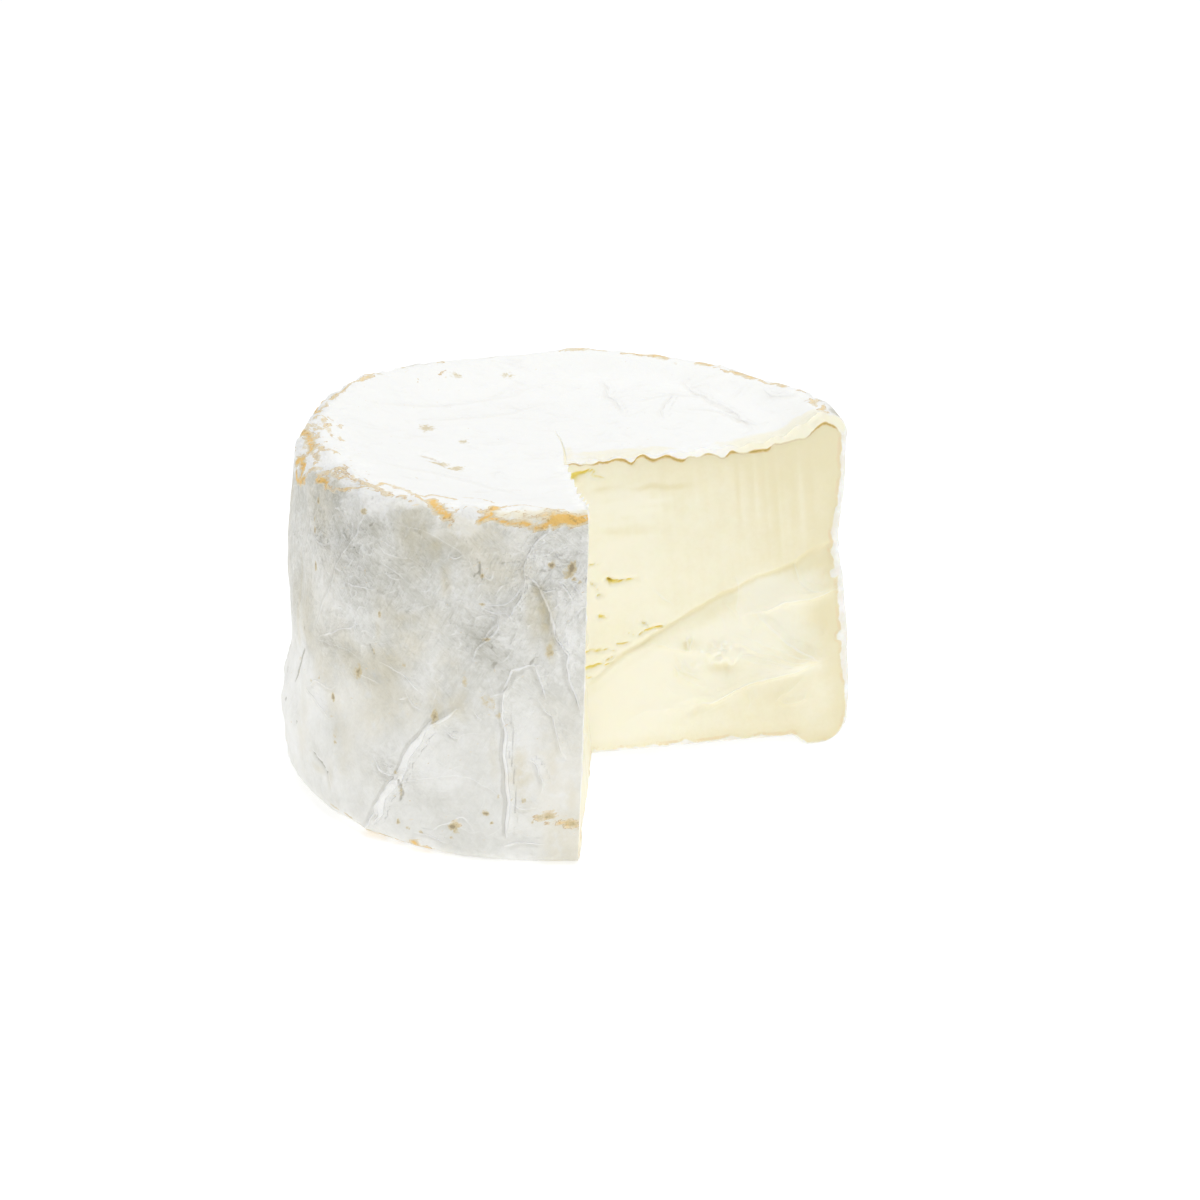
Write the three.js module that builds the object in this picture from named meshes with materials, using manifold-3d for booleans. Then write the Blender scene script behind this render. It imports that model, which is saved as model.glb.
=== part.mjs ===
// A tall soft-ripened cheese wheel with a white rind and one wedge cut out of it, in millimetres.
// The wheel's axis is the Z axis and it rests on the plane z = 0. The wedge is missing between
// the far cut face, which looks towards -Y, and the near cut face, which looks towards +X.
import * as THREE from "three";
import { mergeVertices } from "three/addons/utils/BufferGeometryUtils.js";
import Module from "manifold-3d";

// ---- Driving dimensions: the wheel ----
const WHEEL_RADIUS = 57.1;       // of the side, above its swollen foot
const RIM_HEIGHT = 71.4;         // floor to the crest of the rim
const DISH_DEPTH = 4.0;          // how far the middle of the top has sunk below the crest
const LIP_WIDTH = 11;            // how wide the slope from the crest into the dish is
const LIP_WIDTH_SWING = 5.5;     // it is that much wider at the front left, narrower behind
const RIM_ROUNDING = 3.2;        // radius of the top edge
const RIM_ROUNDING_LEFT = 3.4;   // added to it on the left, where the edge has slumped
const RIM_ROUNDING_RIGHT = 1.4;  // added to it beside the far cut
const BASE_ROUNDING = 2.6;       // radius of the bottom edge
const BASE_ROUNDING_RIGHT = 1.8; // added to it beside the far cut
const BASE_ROUNDING_LEFT = 2.4;  // added to it at the front left
const FOOT_INNER_RADIUS = 50.3;  // inner edge of the flat ring that the wheel stands on
const HOLLOW_DEPTH = 2.5;        // how far the underside is hollow inside that ring
const HOLLOW_CENTRE_DEPTH = 0.9; // added to it at the middle
const HOLLOW_SLOPE = 3.5;        // how wide the slope into that hollow is

// ---- Driving dimensions: the missing wedge ----
const INNER_TOP = { x: -0.5, y: -10.2 };     // where the two cuts meet, on the top
const INNER_BOTTOM = { x: 4.9, y: -8.5 };    // and on the underside: the knife leaned
const FAR_ANGLE_TOP = 17.0;                  // direction of the far cut, degrees from +X
const FAR_ANGLE_BOTTOM = 16.2;
const NEAR_ANGLE_TOP = -83.9;                // direction of the near cut
const NEAR_ANGLE_BOTTOM = -93.0;
const SLIT_LENGTH = 22.5;                    // the knife overran the middle by this much
const SLIT_WIDTH = 1.3;
const SLIT_DEPTH = 5;
const SLIT_ANGLE = 97;                       // its direction, degrees from +X
const SLIT_BOW = 0.9;                        // how far it bends to the right on its way

// ---- Number of rows and spacing of points ----
const TOP_RINGS = 24;
const RIM_RINGS = 4;
const SIDE_RINGS = 22;
const BASE_RINGS = 3;
const HOLLOW_RINGS = 11;
const SKIN_SPACING = 3.0;        // between neighbours along a ring of the skin
const HOLLOW_SPACING = 5.0;      // the same on the underside

const DEGREE = Math.PI / 180;
const CENTRE_HEIGHT = RIM_HEIGHT - DISH_DEPTH;

// ---- Small helpers ----
const mix = (a, b, share) => a + (b - a) * share;
const clamp = (value, low, high) => Math.min(Math.max(value, low), high);
const hump = (distance, width) => Math.exp(-((distance / width) ** 2));

function smoothStep(from, to, value) {
  const share = clamp((value - from) / (to - from), 0, 1);
  return share * share * (3 - 2 * share);
}

// Height of a profile at some place, given as [place, height] pairs in order of place.
function heightOnProfile(profile, place) {
  for (let i = 1; i < profile.length; i += 1) {
    const [from, fromHeight] = profile[i - 1];
    const [to, toHeight] = profile[i];
    if (place <= to) {
      return mix(fromHeight, toHeight, clamp((place - from) / (to - from), 0, 1));
    }
  }
  return profile[profile.length - 1][1];
}

// Shortest signed way from one azimuth to another, in degrees.
function turn(from, to) {
  return ((((to - from + 180) % 360) + 360) % 360) - 180;
}

// A repeatable random number from 0 to 1 for each corner of a cubic lattice.
function latticeValue(i, j, k, seed) {
  const wave = Math.sin(i * 127.1 + j * 311.7 + k * 74.7 + seed * 19.19) * 43758.5453;
  return wave - Math.floor(wave);
}

// Smooth lumps between -1 and 1 whose size is about `size` millimetres.
function lumps(point, size, seed) {
  const cell = [point.x / size, point.y / size, point.z / size];
  const corner = cell.map(Math.floor);
  const share = cell.map((value, axis) => {
    const rest = value - corner[axis];
    return rest * rest * (3 - 2 * rest);
  });
  let total = 0;
  for (const [dx, dy, dz] of LATTICE_CORNERS) {
    const weightX = dx ? share[0] : 1 - share[0];
    const weightY = dy ? share[1] : 1 - share[1];
    const weightZ = dz ? share[2] : 1 - share[2];
    const value = latticeValue(corner[0] + dx, corner[1] + dy, corner[2] + dz, seed);
    total += weightX * weightY * weightZ * value;
  }
  return 2 * total - 1;
}

const LATTICE_CORNERS = [0, 1, 2, 3, 4, 5, 6, 7].map((bits) => [bits & 1, (bits >> 1) & 1, bits >> 2]);

function sumOfLumps(point, layers) {
  return layers.reduce((total, layer) => total + layer.rise * lumps(point, layer.size, layer.seed), 0);
}

// Unevenness of each surface: how high its lumps rise, how large they are, and their seed.
const RIND_LUMPS = [{ rise: 0.45, size: 17, seed: 11 }, { rise: 0.28, size: 7.5, seed: 12 }];
const TOP_LUMPS = [{ rise: 0.35, size: 15, seed: 13 }, { rise: 0.22, size: 6.5, seed: 14 }];
const UNDERSIDE_LUMPS = [{ rise: 0.18, size: 15, seed: 15 }];
const FAR_FACE_LUMPS = [{ rise: 0.18, size: 9, seed: 31 }];
const NEAR_FACE_LUMPS = [{ rise: 0.35, size: 11, seed: 33 }];
const LARGE_SCALES = { size: 6.5, seed: 22, rise: 0.6 };
const SMALL_SCALES = { size: 3.6, seed: 21, rise: 1.0 };
const SCALE_BED = -0.35;         // the crust between the scales lies this much lower

// Distance from a point to a chain of segments, on a flat sheet of millimetres.
function distanceToChain(across, up, chain) {
  let nearest = Infinity;
  for (let i = 1; i < chain.length; i += 1) {
    const [ax, ay] = chain[i - 1];
    const [bx, by] = chain[i];
    const lengthSquared = (bx - ax) ** 2 + (by - ay) ** 2;
    const share = clamp(((across - ax) * (bx - ax) + (up - ay) * (by - ay)) / lengthSquared, 0, 1);
    const distance = Math.hypot(across - mix(ax, bx, share), up - mix(ay, by, share));
    nearest = Math.min(nearest, distance);
  }
  return nearest;
}

// ---- The side: where it bulges or draws in, over a spread of azimuth and a reach of height ----
const OUT_OF_ROUND = 0.35;
const ALL_ROUND = Infinity;
const SIDE_SWELLS = [
  { name: "swollen foot", rise: 1.6, azimuth: 0, spread: ALL_ROUND, height: 12, reach: 15 },
  { name: "flare at the front left", rise: 1.3, azimuth: 243, spread: 36, height: 2, reach: 9 },
  { name: "bulge at the right", rise: 0.7, azimuth: 5, spread: 30, height: 42, reach: 34 },
  { name: "waist beside the far cut", rise: -1.9, azimuth: 5, spread: 26, height: 46, reach: 10 },
  { name: "ledge low on the left", rise: 0.5, azimuth: 184, spread: 32, height: 16, reach: 4.5 },
  { name: "slumped left shoulder", rise: -1.9, azimuth: 184, spread: 32, height: 67, reach: 13 },
  { name: "flat stretch low on the left", rise: -0.8, azimuth: 182, spread: 28, height: 27, reach: 9 },
];

// Its folds and creases, as [azimuth in degrees, height].
const SIDE_FOLDS = [
  { name: "straight fold", rise: 0.5, width: 2.2, at: [[226.8, 66.7], [209.4, 38.8]] },
  { name: "long fold, foot", rise: 1.0, width: 2.5, at: [[227.3, 4.1], [235.6, 16.9], [246, 30.8]] },
  { name: "long fold, middle", rise: 0.8, width: 2.4, at: [[246, 30.8], [252.4, 41.5], [259.2, 50.3]] },
  { name: "long fold, head", rise: 0.6, width: 2.4, at: [[259.2, 50.3], [263.1, 59.3], [263.8, 66.2]] },
  { name: "groove beside it", rise: -0.7, width: 2.8, at: [[243, 33.5], [249.6, 42], [256, 51]] },
  { name: "upright fold", rise: 0.9, width: 2.3, at: [[258.1, 36], [257.9, 20.5], [258.6, 5.8]] },
  { name: "flap", rise: 0.8, width: 2.2, at: [[258.1, 36], [259.1, 39.4], [263.6, 41.3], [266.5, 34.2]] },
  { name: "curved fold", rise: 0.7, width: 2.3, at: [[263.1, 59.3], [268.3, 48.6], [272.7, 32.7]] },
  { name: "hollow between", rise: -0.7, width: 3.6, at: [[264.2, 57.5], [264.6, 45]] },
  { name: "left crease", rise: -0.5, width: 2.4, at: [[199.5, 62], [199, 44], [201.5, 33]] },
  { name: "left fold", rise: 0.6, width: 2.4, at: [[205.5, 24.6], [210.5, 23.6], [214.8, 21.5]] },
  { name: "behind left fold", rise: 0.8, width: 2.6, at: [[176, 8], [168, 27], [171, 43]] },
  { name: "behind left groove", rise: -0.6, width: 2.8, at: [[158, 60], [151, 44], [156, 30]] },
  { name: "back fold", rise: 0.8, width: 2.5, at: [[128, 66], [120, 48], [124, 30], [117, 9]] },
  { name: "back slanting fold", rise: 0.7, width: 2.4, at: [[104, 14], [93, 31], [86, 52]] },
  { name: "back groove", rise: -0.6, width: 2.9, at: [[74, 62], [70, 40]] },
  { name: "right fold", rise: 0.8, width: 2.5, at: [[58, 6], [49, 24], [52, 41], [43, 58]] },
  { name: "right crease", rise: -0.6, width: 2.6, at: [[27, 58], [31, 38], [24, 20]] },
];

// The same chains on the unrolled side, in millimetres.
const UNROLLED_FOLDS = SIDE_FOLDS.map((fold) => ({
  rise: fold.rise,
  width: fold.width,
  chain: fold.at.map(([azimuth, height]) => [azimuth * DEGREE * WHEEL_RADIUS, height]),
}));

// Radius of the side, before its folds.
function sideRadius(azimuth, z) {
  let radius = WHEEL_RADIUS + OUT_OF_ROUND * Math.sin(2 * azimuth * DEGREE + 1.1);
  for (const swell of SIDE_SWELLS) {
    const around = hump(turn(swell.azimuth, azimuth), swell.spread);
    radius += swell.rise * around * hump(z - swell.height, swell.reach);
  }
  return radius;
}

function foldRelief(azimuth, z) {
  const across = azimuth * DEGREE * WHEEL_RADIUS;
  let relief = 0;
  for (const fold of UNROLLED_FOLDS) {
    relief += fold.rise * hump(distanceToChain(across, z, fold.chain), fold.width);
  }
  return relief;
}

// ---- The rim ----
function rimRounding(azimuth) {
  const left = RIM_ROUNDING_LEFT * hump(turn(192, azimuth), 36);
  return RIM_ROUNDING + left + RIM_ROUNDING_RIGHT * hump(turn(5, azimuth), 16);
}

// How far the crest rises above RIM_HEIGHT around the wheel, as [azimuth, rise].
const CREST_RISES = [
  [0, 1.0], [5, 1.5], [12, 0.9], [20, 0.1], [32, -0.2], [39, -1.1], [46, -1.3], [53, -0.5], [62, -0.5],
  [70, 0], [80, 0.5], [86, 0.8], [92, 0.2], [98, -0.2], [108, -0.8], [116, -0.3], [124, 0.4], [134, 0.6],
  [142, 0.9], [149, 1.2], [155, 0.3], [162, -0.3], [172, -0.1], [182, 0.2], [210, 0.35], [220, 0],
  [230, -0.4], [240, -0.3], [250, 0], [272, 0], [290, 0.4], [310, -0.2], [350, 0], [360, 1.0],
];

function crestHeight(azimuth) {
  return RIM_HEIGHT + heightOnProfile(CREST_RISES, ((azimuth % 360) + 360) % 360);
}

function crestRadius(azimuth) {
  const side = sideRadius(azimuth, RIM_HEIGHT - RIM_ROUNDING);
  return side - rimRounding(azimuth);
}

// The broken crust of the rim: short scales that stand out along the edge.
function rimScales(point) {
  return [SMALL_SCALES, LARGE_SCALES].reduce(
    (total, layer) => total + layer.rise * Math.max(0, lumps(point, layer.size, layer.seed)),
    SCALE_BED,
  );
}

// ---- The top and the underside, as heights over the plan ----
const TOP_CREASES = [
  { rise: -0.35, width: 1.6, at: [[23.6, 41.3], [28.3, 31.2], [33.6, 20.7], [36.8, 10.5]] },
  { rise: 0.35, width: 1.7, at: [[7.2, 43.4], [11.4, 20.1]] },
  { rise: 0.3, width: 1.6, at: [[22.0, 34.1], [19.6, 17.3]] },
  { rise: -0.4, width: 1.5, at: [[-29.2, -9.4], [-22.0, -15.8]] },
  { rise: 0.35, width: 2.2, at: [[-34, 30], [-20, 38], [-8, 36]] },
];

function topHeight(x, y) {
  const azimuth = Math.atan2(y, x) / DEGREE;
  const inward = Math.max(0, crestRadius(azimuth) - Math.hypot(x, y));
  const lipWidth = LIP_WIDTH + LIP_WIDTH_SWING * Math.cos((azimuth - 240) * DEGREE);
  const crest = crestHeight(azimuth);
  let height = mix(CENTRE_HEIGHT, crest, hump(inward, lipWidth));
  for (const crease of TOP_CREASES) {
    height += crease.rise * hump(distanceToChain(x, y, crease.at), crease.width);
  }
  return height;
}

function hollowHeight(x, y) {
  const fromAxis = Math.hypot(x, y);
  const depth = HOLLOW_DEPTH + HOLLOW_CENTRE_DEPTH * hump(fromAxis, 25);
  return depth * smoothStep(0, HOLLOW_SLOPE, FOOT_INNER_RADIUS - fromAxis);
}

// ---- The two cuts: each is swept by a level line that turns a little on its way down ----
function makeCut(angleTop, angleBottom) {
  return (z) => {
    const share = clamp((z - HOLLOW_DEPTH) / (CENTRE_HEIGHT - HOLLOW_DEPTH), 0, 1);
    const angle = mix(angleBottom, angleTop, share) * DEGREE;
    return {
      x: mix(INNER_BOTTOM.x, INNER_TOP.x, share),
      y: mix(INNER_BOTTOM.y, INNER_TOP.y, share),
      alongX: Math.cos(angle),
      alongY: Math.sin(angle),
    };
  };
}

const farCut = makeCut(FAR_ANGLE_TOP, FAR_ANGLE_BOTTOM);
const nearCut = makeCut(NEAR_ANGLE_TOP, NEAR_ANGLE_BOTTOM);

// How far along a cut's level line a circle of the given radius lies.
function reachToCircle(line, radius) {
  const along = line.x * line.alongX + line.y * line.alongY;
  const rest = line.x ** 2 + line.y ** 2 - radius ** 2;
  return -along + Math.sqrt(along ** 2 - rest);
}

// Azimuth at which a ring of the skin, whose radius changes along it, ends at a cut.
function cutAzimuth(cut, z, radiusAt, guess) {
  let azimuth = guess;
  const line = cut(z);
  for (let round = 0; round < 5; round += 1) {
    const reach = reachToCircle(line, radiusAt(azimuth));
    const angle = Math.atan2(line.y + reach * line.alongY, line.x + reach * line.alongX) / DEGREE;
    azimuth = guess + turn(guess, angle);
  }
  return azimuth;
}

// ---- Relief of the cut faces, as distance along the cut and height ----
// Below the knife step the blade bit deeper; right of it the soft paste was dragged into folds.
const KNIFE_STEP = [
  [0, 18.9], [6.9, 23.7], [14.6, 27.9], [22.3, 31.7], [30, 35.1], [36.8, 37.9], [44, 39.7],
  [47.6, 41.0], [51.7, 43.5], [57, 44.6],
];
const KNIFE_STEP_DEPTH = 0.9;
const KNIFE_CHATTER = 0.25;
const SMEARS = [
  { rise: 1.0, width: 1.6, at: [[37.9, 30.8], [43.0, 31.8], [48.9, 32.9], [56.5, 33.1]] },
  { rise: 0.8, width: 1.6, at: [[37.7, 30.7], [39.0, 28.2], [43.6, 23.3], [50.3, 18.3]] },
  { rise: 1.2, width: 1.8, at: [[50.5, 18.0], [44.0, 17.1], [35.9, 15.6], [30.8, 14.2], [21.6, 12.1]] },
  { rise: 0.6, width: 1.4, at: [[47.8, 40.6], [48.1, 37.8], [51.1, 34.3], [54.0, 33.8]] },
  { rise: 1.2, width: 1.7, at: [[28.2, 22.9], [31.2, 22.0]] },
  { rise: -0.7, width: 1.6, at: [[26.4, 21.1], [28.8, 19.6], [31.6, 18.6]] },
];

function farRelief(along, z) {
  const below = heightOnProfile(KNIFE_STEP, along) - z;
  const reach = mix(3, 8, smoothStep(10, 40, along));
  let relief = -KNIFE_STEP_DEPTH * smoothStep(-0.4, 1.2, below) * (1 - smoothStep(1.6, reach, below));
  for (const smear of SMEARS) {
    relief += smear.rise * hump(distanceToChain(along, z, smear.at), smear.width);
  }
  return relief + sumOfLumps({ x: along, y: 0, z: z }, FAR_FACE_LUMPS);
}

function nearRelief(along, z) {
  const chatter = KNIFE_CHATTER * Math.sin(z / 7 + along / 19);
  return chatter + sumOfLumps({ x: along, y: 0, z: z }, NEAR_FACE_LUMPS);
}

// The rind's edge along the top of a cut is dragged into small waves that lean over the cut.
const WAVE_LENGTH = 5.3;
const WAVE_HEIGHT = 0.45;
const WAVE_LEAN = 0.3;
function edgeWave(along) {
  const phase = (2 * Math.PI * along) / WAVE_LENGTH + 1.4 * Math.sin(along / 7);
  return {
    lift: WAVE_HEIGHT * Math.sin(phase),
    lean: WAVE_LEAN * (1 + 0.8 * Math.sin(phase + 0.8)),
  };
}

// ---- Mesh of the wheel: rows of points, neighbouring rows stitched together ----
const positions = [];
const triangles = [];

function addPoint(x, y, z) {
  positions.push(x, y, z);
  return positions.length / 3 - 1;
}

// Joins two rows of point numbers, which may differ in length, by a band of triangles.
function stitch(rowA, rowB) {
  let a = 0;
  let b = 0;
  const lastA = rowA.length - 1;
  const lastB = rowB.length - 1;
  while (a < lastA || b < lastB) {
    const nextA = lastA === 0 ? 2 : (a + 1) / lastA;
    const nextB = lastB === 0 ? 2 : (b + 1) / lastB;
    const stepA = b === lastB || (a < lastA && nextA <= nextB);
    if (stepA) {
      triangles.push(rowA[a], rowB[b], rowA[a + 1]);
      a += 1;
    } else {
      triangles.push(rowA[a], rowB[b], rowB[b + 1]);
      b += 1;
    }
  }
}

// The relief of the rind, outwards from the skin.
function skinRelief(point, azimuth, onRim) {
  return sumOfLumps(point, RIND_LUMPS) + onRim * rimScales(point) + foldRelief(azimuth, point.z);
}

// A ring of the skin: base radius and height over azimuth, an outward direction in the
// profile plane, and how much of the rim's crust and of the folds it carries.
function makeProfileRing({ heightAt, radiusAt, outward, lift, onRim, relief }) {
  const meanHeight = heightAt(180);
  const from = cutAzimuth(farCut, meanHeight, radiusAt, 6);
  const to = cutAzimuth(nearCut, meanHeight, radiusAt, 274);
  const count = Math.round(((to - from) * DEGREE * WHEEL_RADIUS) / SKIN_SPACING);
  const ring = [];
  for (let i = 0; i <= count; i += 1) {
    const azimuth = mix(from, to, i / count);
    const radius = radiusAt(azimuth);
    const z = heightAt(azimuth);
    const point = { x: radius * Math.cos(azimuth * DEGREE), y: radius * Math.sin(azimuth * DEGREE), z: z };
    const rise = relief * skinRelief(point, azimuth, onRim);
    const outX = outward * rise * Math.cos(azimuth * DEGREE);
    const outY = outward * rise * Math.sin(azimuth * DEGREE);
    ring.push(addPoint(point.x + outX, point.y + outY, point.z + lift * rise));
  }
  return ring;
}

// A ring of the top or the underside: a share of the way from the inner corner to a circle.
function makeSheetRing({ corner, share, cutHeight, radiusAt, heightAt, spacing, layers, waves }) {
  const from = cutAzimuth(farCut, cutHeight, radiusAt, 6);
  const to = cutAzimuth(nearCut, cutHeight, radiusAt, 274);
  const count = Math.max(3, Math.round(((to - from) * DEGREE * WHEEL_RADIUS * share) / spacing));
  const ring = [];
  for (let i = 0; i <= count; i += 1) {
    const azimuth = mix(from, to, i / count);
    const radius = radiusAt(azimuth);
    let x = mix(corner.x, radius * Math.cos(azimuth * DEGREE), share);
    let y = mix(corner.y, radius * Math.sin(azimuth * DEGREE), share);
    let z = heightAt(x, y);
    z += sumOfLumps({ x: x, y: y, z: z }, layers);
    const atFar = i === 0;
    const atNear = i === count;
    if (waves && (atFar || atNear)) {
      const line = (atFar ? farCut : nearCut)(cutHeight);
      const along = Math.hypot(x - corner.x, y - corner.y);
      const wave = edgeWave(along + (atNear ? 3 : 0));
      const side = atFar ? 1 : -1;
      x += side * wave.lean * line.alongY;
      y -= side * wave.lean * line.alongX;
      z += wave.lift;
    }
    ring.push(addPoint(x, y, z));
  }
  return ring;
}

function makeTopRings() {
  const rings = [];
  for (let k = 1; k <= TOP_RINGS; k += 1) {
    const share = k / TOP_RINGS;
    rings.push(makeSheetRing({
      corner: INNER_TOP,
      share: share,
      cutHeight: CENTRE_HEIGHT,
      radiusAt: crestRadius,
      heightAt: topHeight,
      spacing: SKIN_SPACING,
      layers: TOP_LUMPS,
      waves: true,
    }));
  }
  return rings;
}

function makeRimRings() {
  const rings = [];
  for (let k = 1; k <= RIM_RINGS; k += 1) {
    const angle = (1 - k / RIM_RINGS) * 90 * DEGREE;
    rings.push(makeProfileRing({
      heightAt: (azimuth) => crestHeight(azimuth) - rimRounding(azimuth) * (1 - Math.sin(angle)),
      radiusAt: (azimuth) => crestRadius(azimuth) + rimRounding(azimuth) * Math.cos(angle),
      outward: Math.cos(angle),
      lift: Math.sin(angle),
      onRim: 1 - 0.5 * (k / RIM_RINGS),
      relief: 1,
    }));
  }
  return rings;
}

function makeSideRings() {
  const rings = [];
  for (let k = 1; k <= SIDE_RINGS; k += 1) {
    const share = k / SIDE_RINGS;
    const heightAt = (azimuth) => {
      return mix(crestHeight(azimuth) - rimRounding(azimuth), baseRounding(azimuth), share);
    };
    rings.push(makeProfileRing({
      heightAt: heightAt,
      radiusAt: (azimuth) => sideRadius(azimuth, heightAt(azimuth)),
      outward: 1,
      lift: 0,
      onRim: 0.5 * (1 - smoothStep(0, 0.09, share)),
      relief: 1,
    }));
  }
  return rings;
}

function baseRounding(azimuth) {
  const left = BASE_ROUNDING_LEFT * hump(turn(204, azimuth), 22);
  return BASE_ROUNDING + left + BASE_ROUNDING_RIGHT * hump(turn(5, azimuth), 24);
}

// The last of these rings lies on the floor, and so does the foot's inner ring.
function makeBaseRings() {
  const rings = [];
  for (let k = 1; k <= BASE_RINGS; k += 1) {
    const angle = (k / BASE_RINGS) * 90 * DEGREE;
    rings.push(makeProfileRing({
      heightAt: (azimuth) => baseRounding(azimuth) * (1 - Math.sin(angle)),
      radiusAt: (azimuth) => {
        const rounding = baseRounding(azimuth);
        return sideRadius(azimuth, rounding) - rounding * (1 - Math.cos(angle));
      },
      outward: Math.cos(angle),
      lift: -Math.sin(angle),
      onRim: 0,
      relief: Math.cos(angle),
    }));
  }
  rings.push(makeProfileRing({
    heightAt: () => 0,
    radiusAt: () => FOOT_INNER_RADIUS,
    outward: 0,
    lift: 0,
    onRim: 0,
    relief: 0,
  }));
  return rings;
}

function makeHollowRings() {
  const rings = [];
  for (let k = HOLLOW_RINGS - 1; k >= 1; k -= 1) {
    const share = 1 - (1 - k / HOLLOW_RINGS) ** 1.25;
    rings.push(makeSheetRing({
      corner: INNER_BOTTOM,
      share: share,
      cutHeight: 0,
      radiusAt: () => FOOT_INNER_RADIUS,
      heightAt: hollowHeight,
      spacing: HOLLOW_SPACING,
      layers: UNDERSIDE_LUMPS,
      waves: false,
    }));
  }
  return rings;
}

function pointAt(number) {
  return { x: positions[3 * number], y: positions[3 * number + 1], z: positions[3 * number + 2] };
}

// A point's place on a cut: its distance along the level line, and its height.
function placeOnCut(cut, number) {
  const point = pointAt(number);
  const line = cut(point.z);
  const along = (point.x - line.x) * line.alongX + (point.y - line.y) * line.alongY;
  return { along: along, z: point.z };
}

// Place at a fractional position along a list of places.
function placeBetween(places, share) {
  const position = share * (places.length - 1);
  const index = Math.min(Math.floor(position), places.length - 2);
  const rest = position - index;
  return {
    along: mix(places[index].along, places[index + 1].along, rest),
    z: mix(places[index].z, places[index + 1].z, rest),
  };
}

// A cut face: level rows from the inner corner line out to the skin, between the row of
// points along the underside and the row along the top. `side` is 1 where the face looks to
// the right of its own direction, and -1 where it looks to the left.
function fillCutFace({ cut, side, topRow, bottomRow, innerLine, outerLine, reliefAt }) {
  const top = topRow.map((number) => placeOnCut(cut, number));
  const bottom = bottomRow.map((number) => placeOnCut(cut, number));
  const inner = innerLine.map((number) => placeOnCut(cut, number));
  const outer = outerLine.map((number) => placeOnCut(cut, number));
  const lastRow = innerLine.length - 1;
  const rows = [topRow];
  for (let j = 1; j < lastRow; j += 1) {
    const down = j / lastRow;
    const count = Math.round(mix(topRow.length, bottomRow.length, down)) - 1;
    const row = [innerLine[j]];
    for (let i = 1; i < count; i += 1) {
      const out = i / count;
      const fromTop = placeBetween(top, out);
      const fromBottom = placeBetween(bottom, out);
      const cornerMix = (key) => mix(
        mix(top[0][key], top[top.length - 1][key], out),
        mix(bottom[0][key], bottom[bottom.length - 1][key], out),
        down,
      );
      const blend = (key) => mix(fromTop[key], fromBottom[key], down)
        + mix(inner[j][key], outer[j][key], out) - cornerMix(key);
      const along = blend("along");
      const z = blend("z");
      const line = cut(z);
      const fade = smoothStep(0, 3, along) * smoothStep(0, 2.5, outer[j].along - along)
        * smoothStep(0, 0.06, down) * smoothStep(0, 0.05, 1 - down);
      const relief = side * fade * reliefAt(along, z);
      const x = line.x + along * line.alongX + relief * line.alongY;
      const y = line.y + along * line.alongY - relief * line.alongX;
      row.push(addPoint(x, y, z));
    }
    row.push(outerLine[j]);
    rows.push(row);
  }
  rows.push(bottomRow);
  for (let j = 1; j < rows.length; j += 1) {
    if (side > 0) {
      stitch(rows[j - 1], rows[j]);
    } else {
      stitch(rows[j], rows[j - 1]);
    }
  }
}

function buildWheel() {
  const cornerTop = addPoint(INNER_TOP.x, INNER_TOP.y, topHeight(INNER_TOP.x, INNER_TOP.y));
  const bottomHeight = hollowHeight(INNER_BOTTOM.x, INNER_BOTTOM.y);
  const cornerBottom = addPoint(INNER_BOTTOM.x, INNER_BOTTOM.y, bottomHeight);
  const topRings = makeTopRings();
  const outerRings = [...makeRimRings(), ...makeSideRings(), ...makeBaseRings()];
  const hollowRings = makeHollowRings();
  const rings = [[cornerTop], ...topRings, ...outerRings, ...hollowRings, [cornerBottom]];
  for (let k = 1; k < rings.length; k += 1) {
    stitch(rings[k - 1], rings[k]);
  }

  // The corner of the two cuts, with as many points as there are level rows between them.
  const lastTop = topRings[topRings.length - 1];
  const crossing = [lastTop, ...outerRings];
  const innerLine = crossing.map((ring, j) => {
    if (j === 0) {
      return cornerTop;
    }
    if (j === crossing.length - 1) {
      return cornerBottom;
    }
    const z = mix(pointAt(cornerTop).z, bottomHeight, j / (crossing.length - 1));
    return addPoint(farCut(z).x, farCut(z).y, z);
  });
  const faces = [
    { cut: farCut, side: 1, end: (ring) => ring[0], reliefAt: farRelief },
    { cut: nearCut, side: -1, end: (ring) => ring[ring.length - 1], reliefAt: nearRelief },
  ];
  for (const face of faces) {
    fillCutFace({
      cut: face.cut,
      side: face.side,
      topRow: [cornerTop, ...topRings.map(face.end)],
      bottomRow: [cornerBottom, ...hollowRings.map(face.end).reverse(), face.end(outerRings.at(-1))],
      innerLine: innerLine,
      outerLine: crossing.map(face.end),
      reliefAt: face.reliefAt,
    });
  }

  const geometry = new THREE.BufferGeometry();
  geometry.setAttribute("position", new THREE.Float32BufferAttribute(positions, 3));
  geometry.setIndex(triangles);
  return geometry;
}

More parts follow.
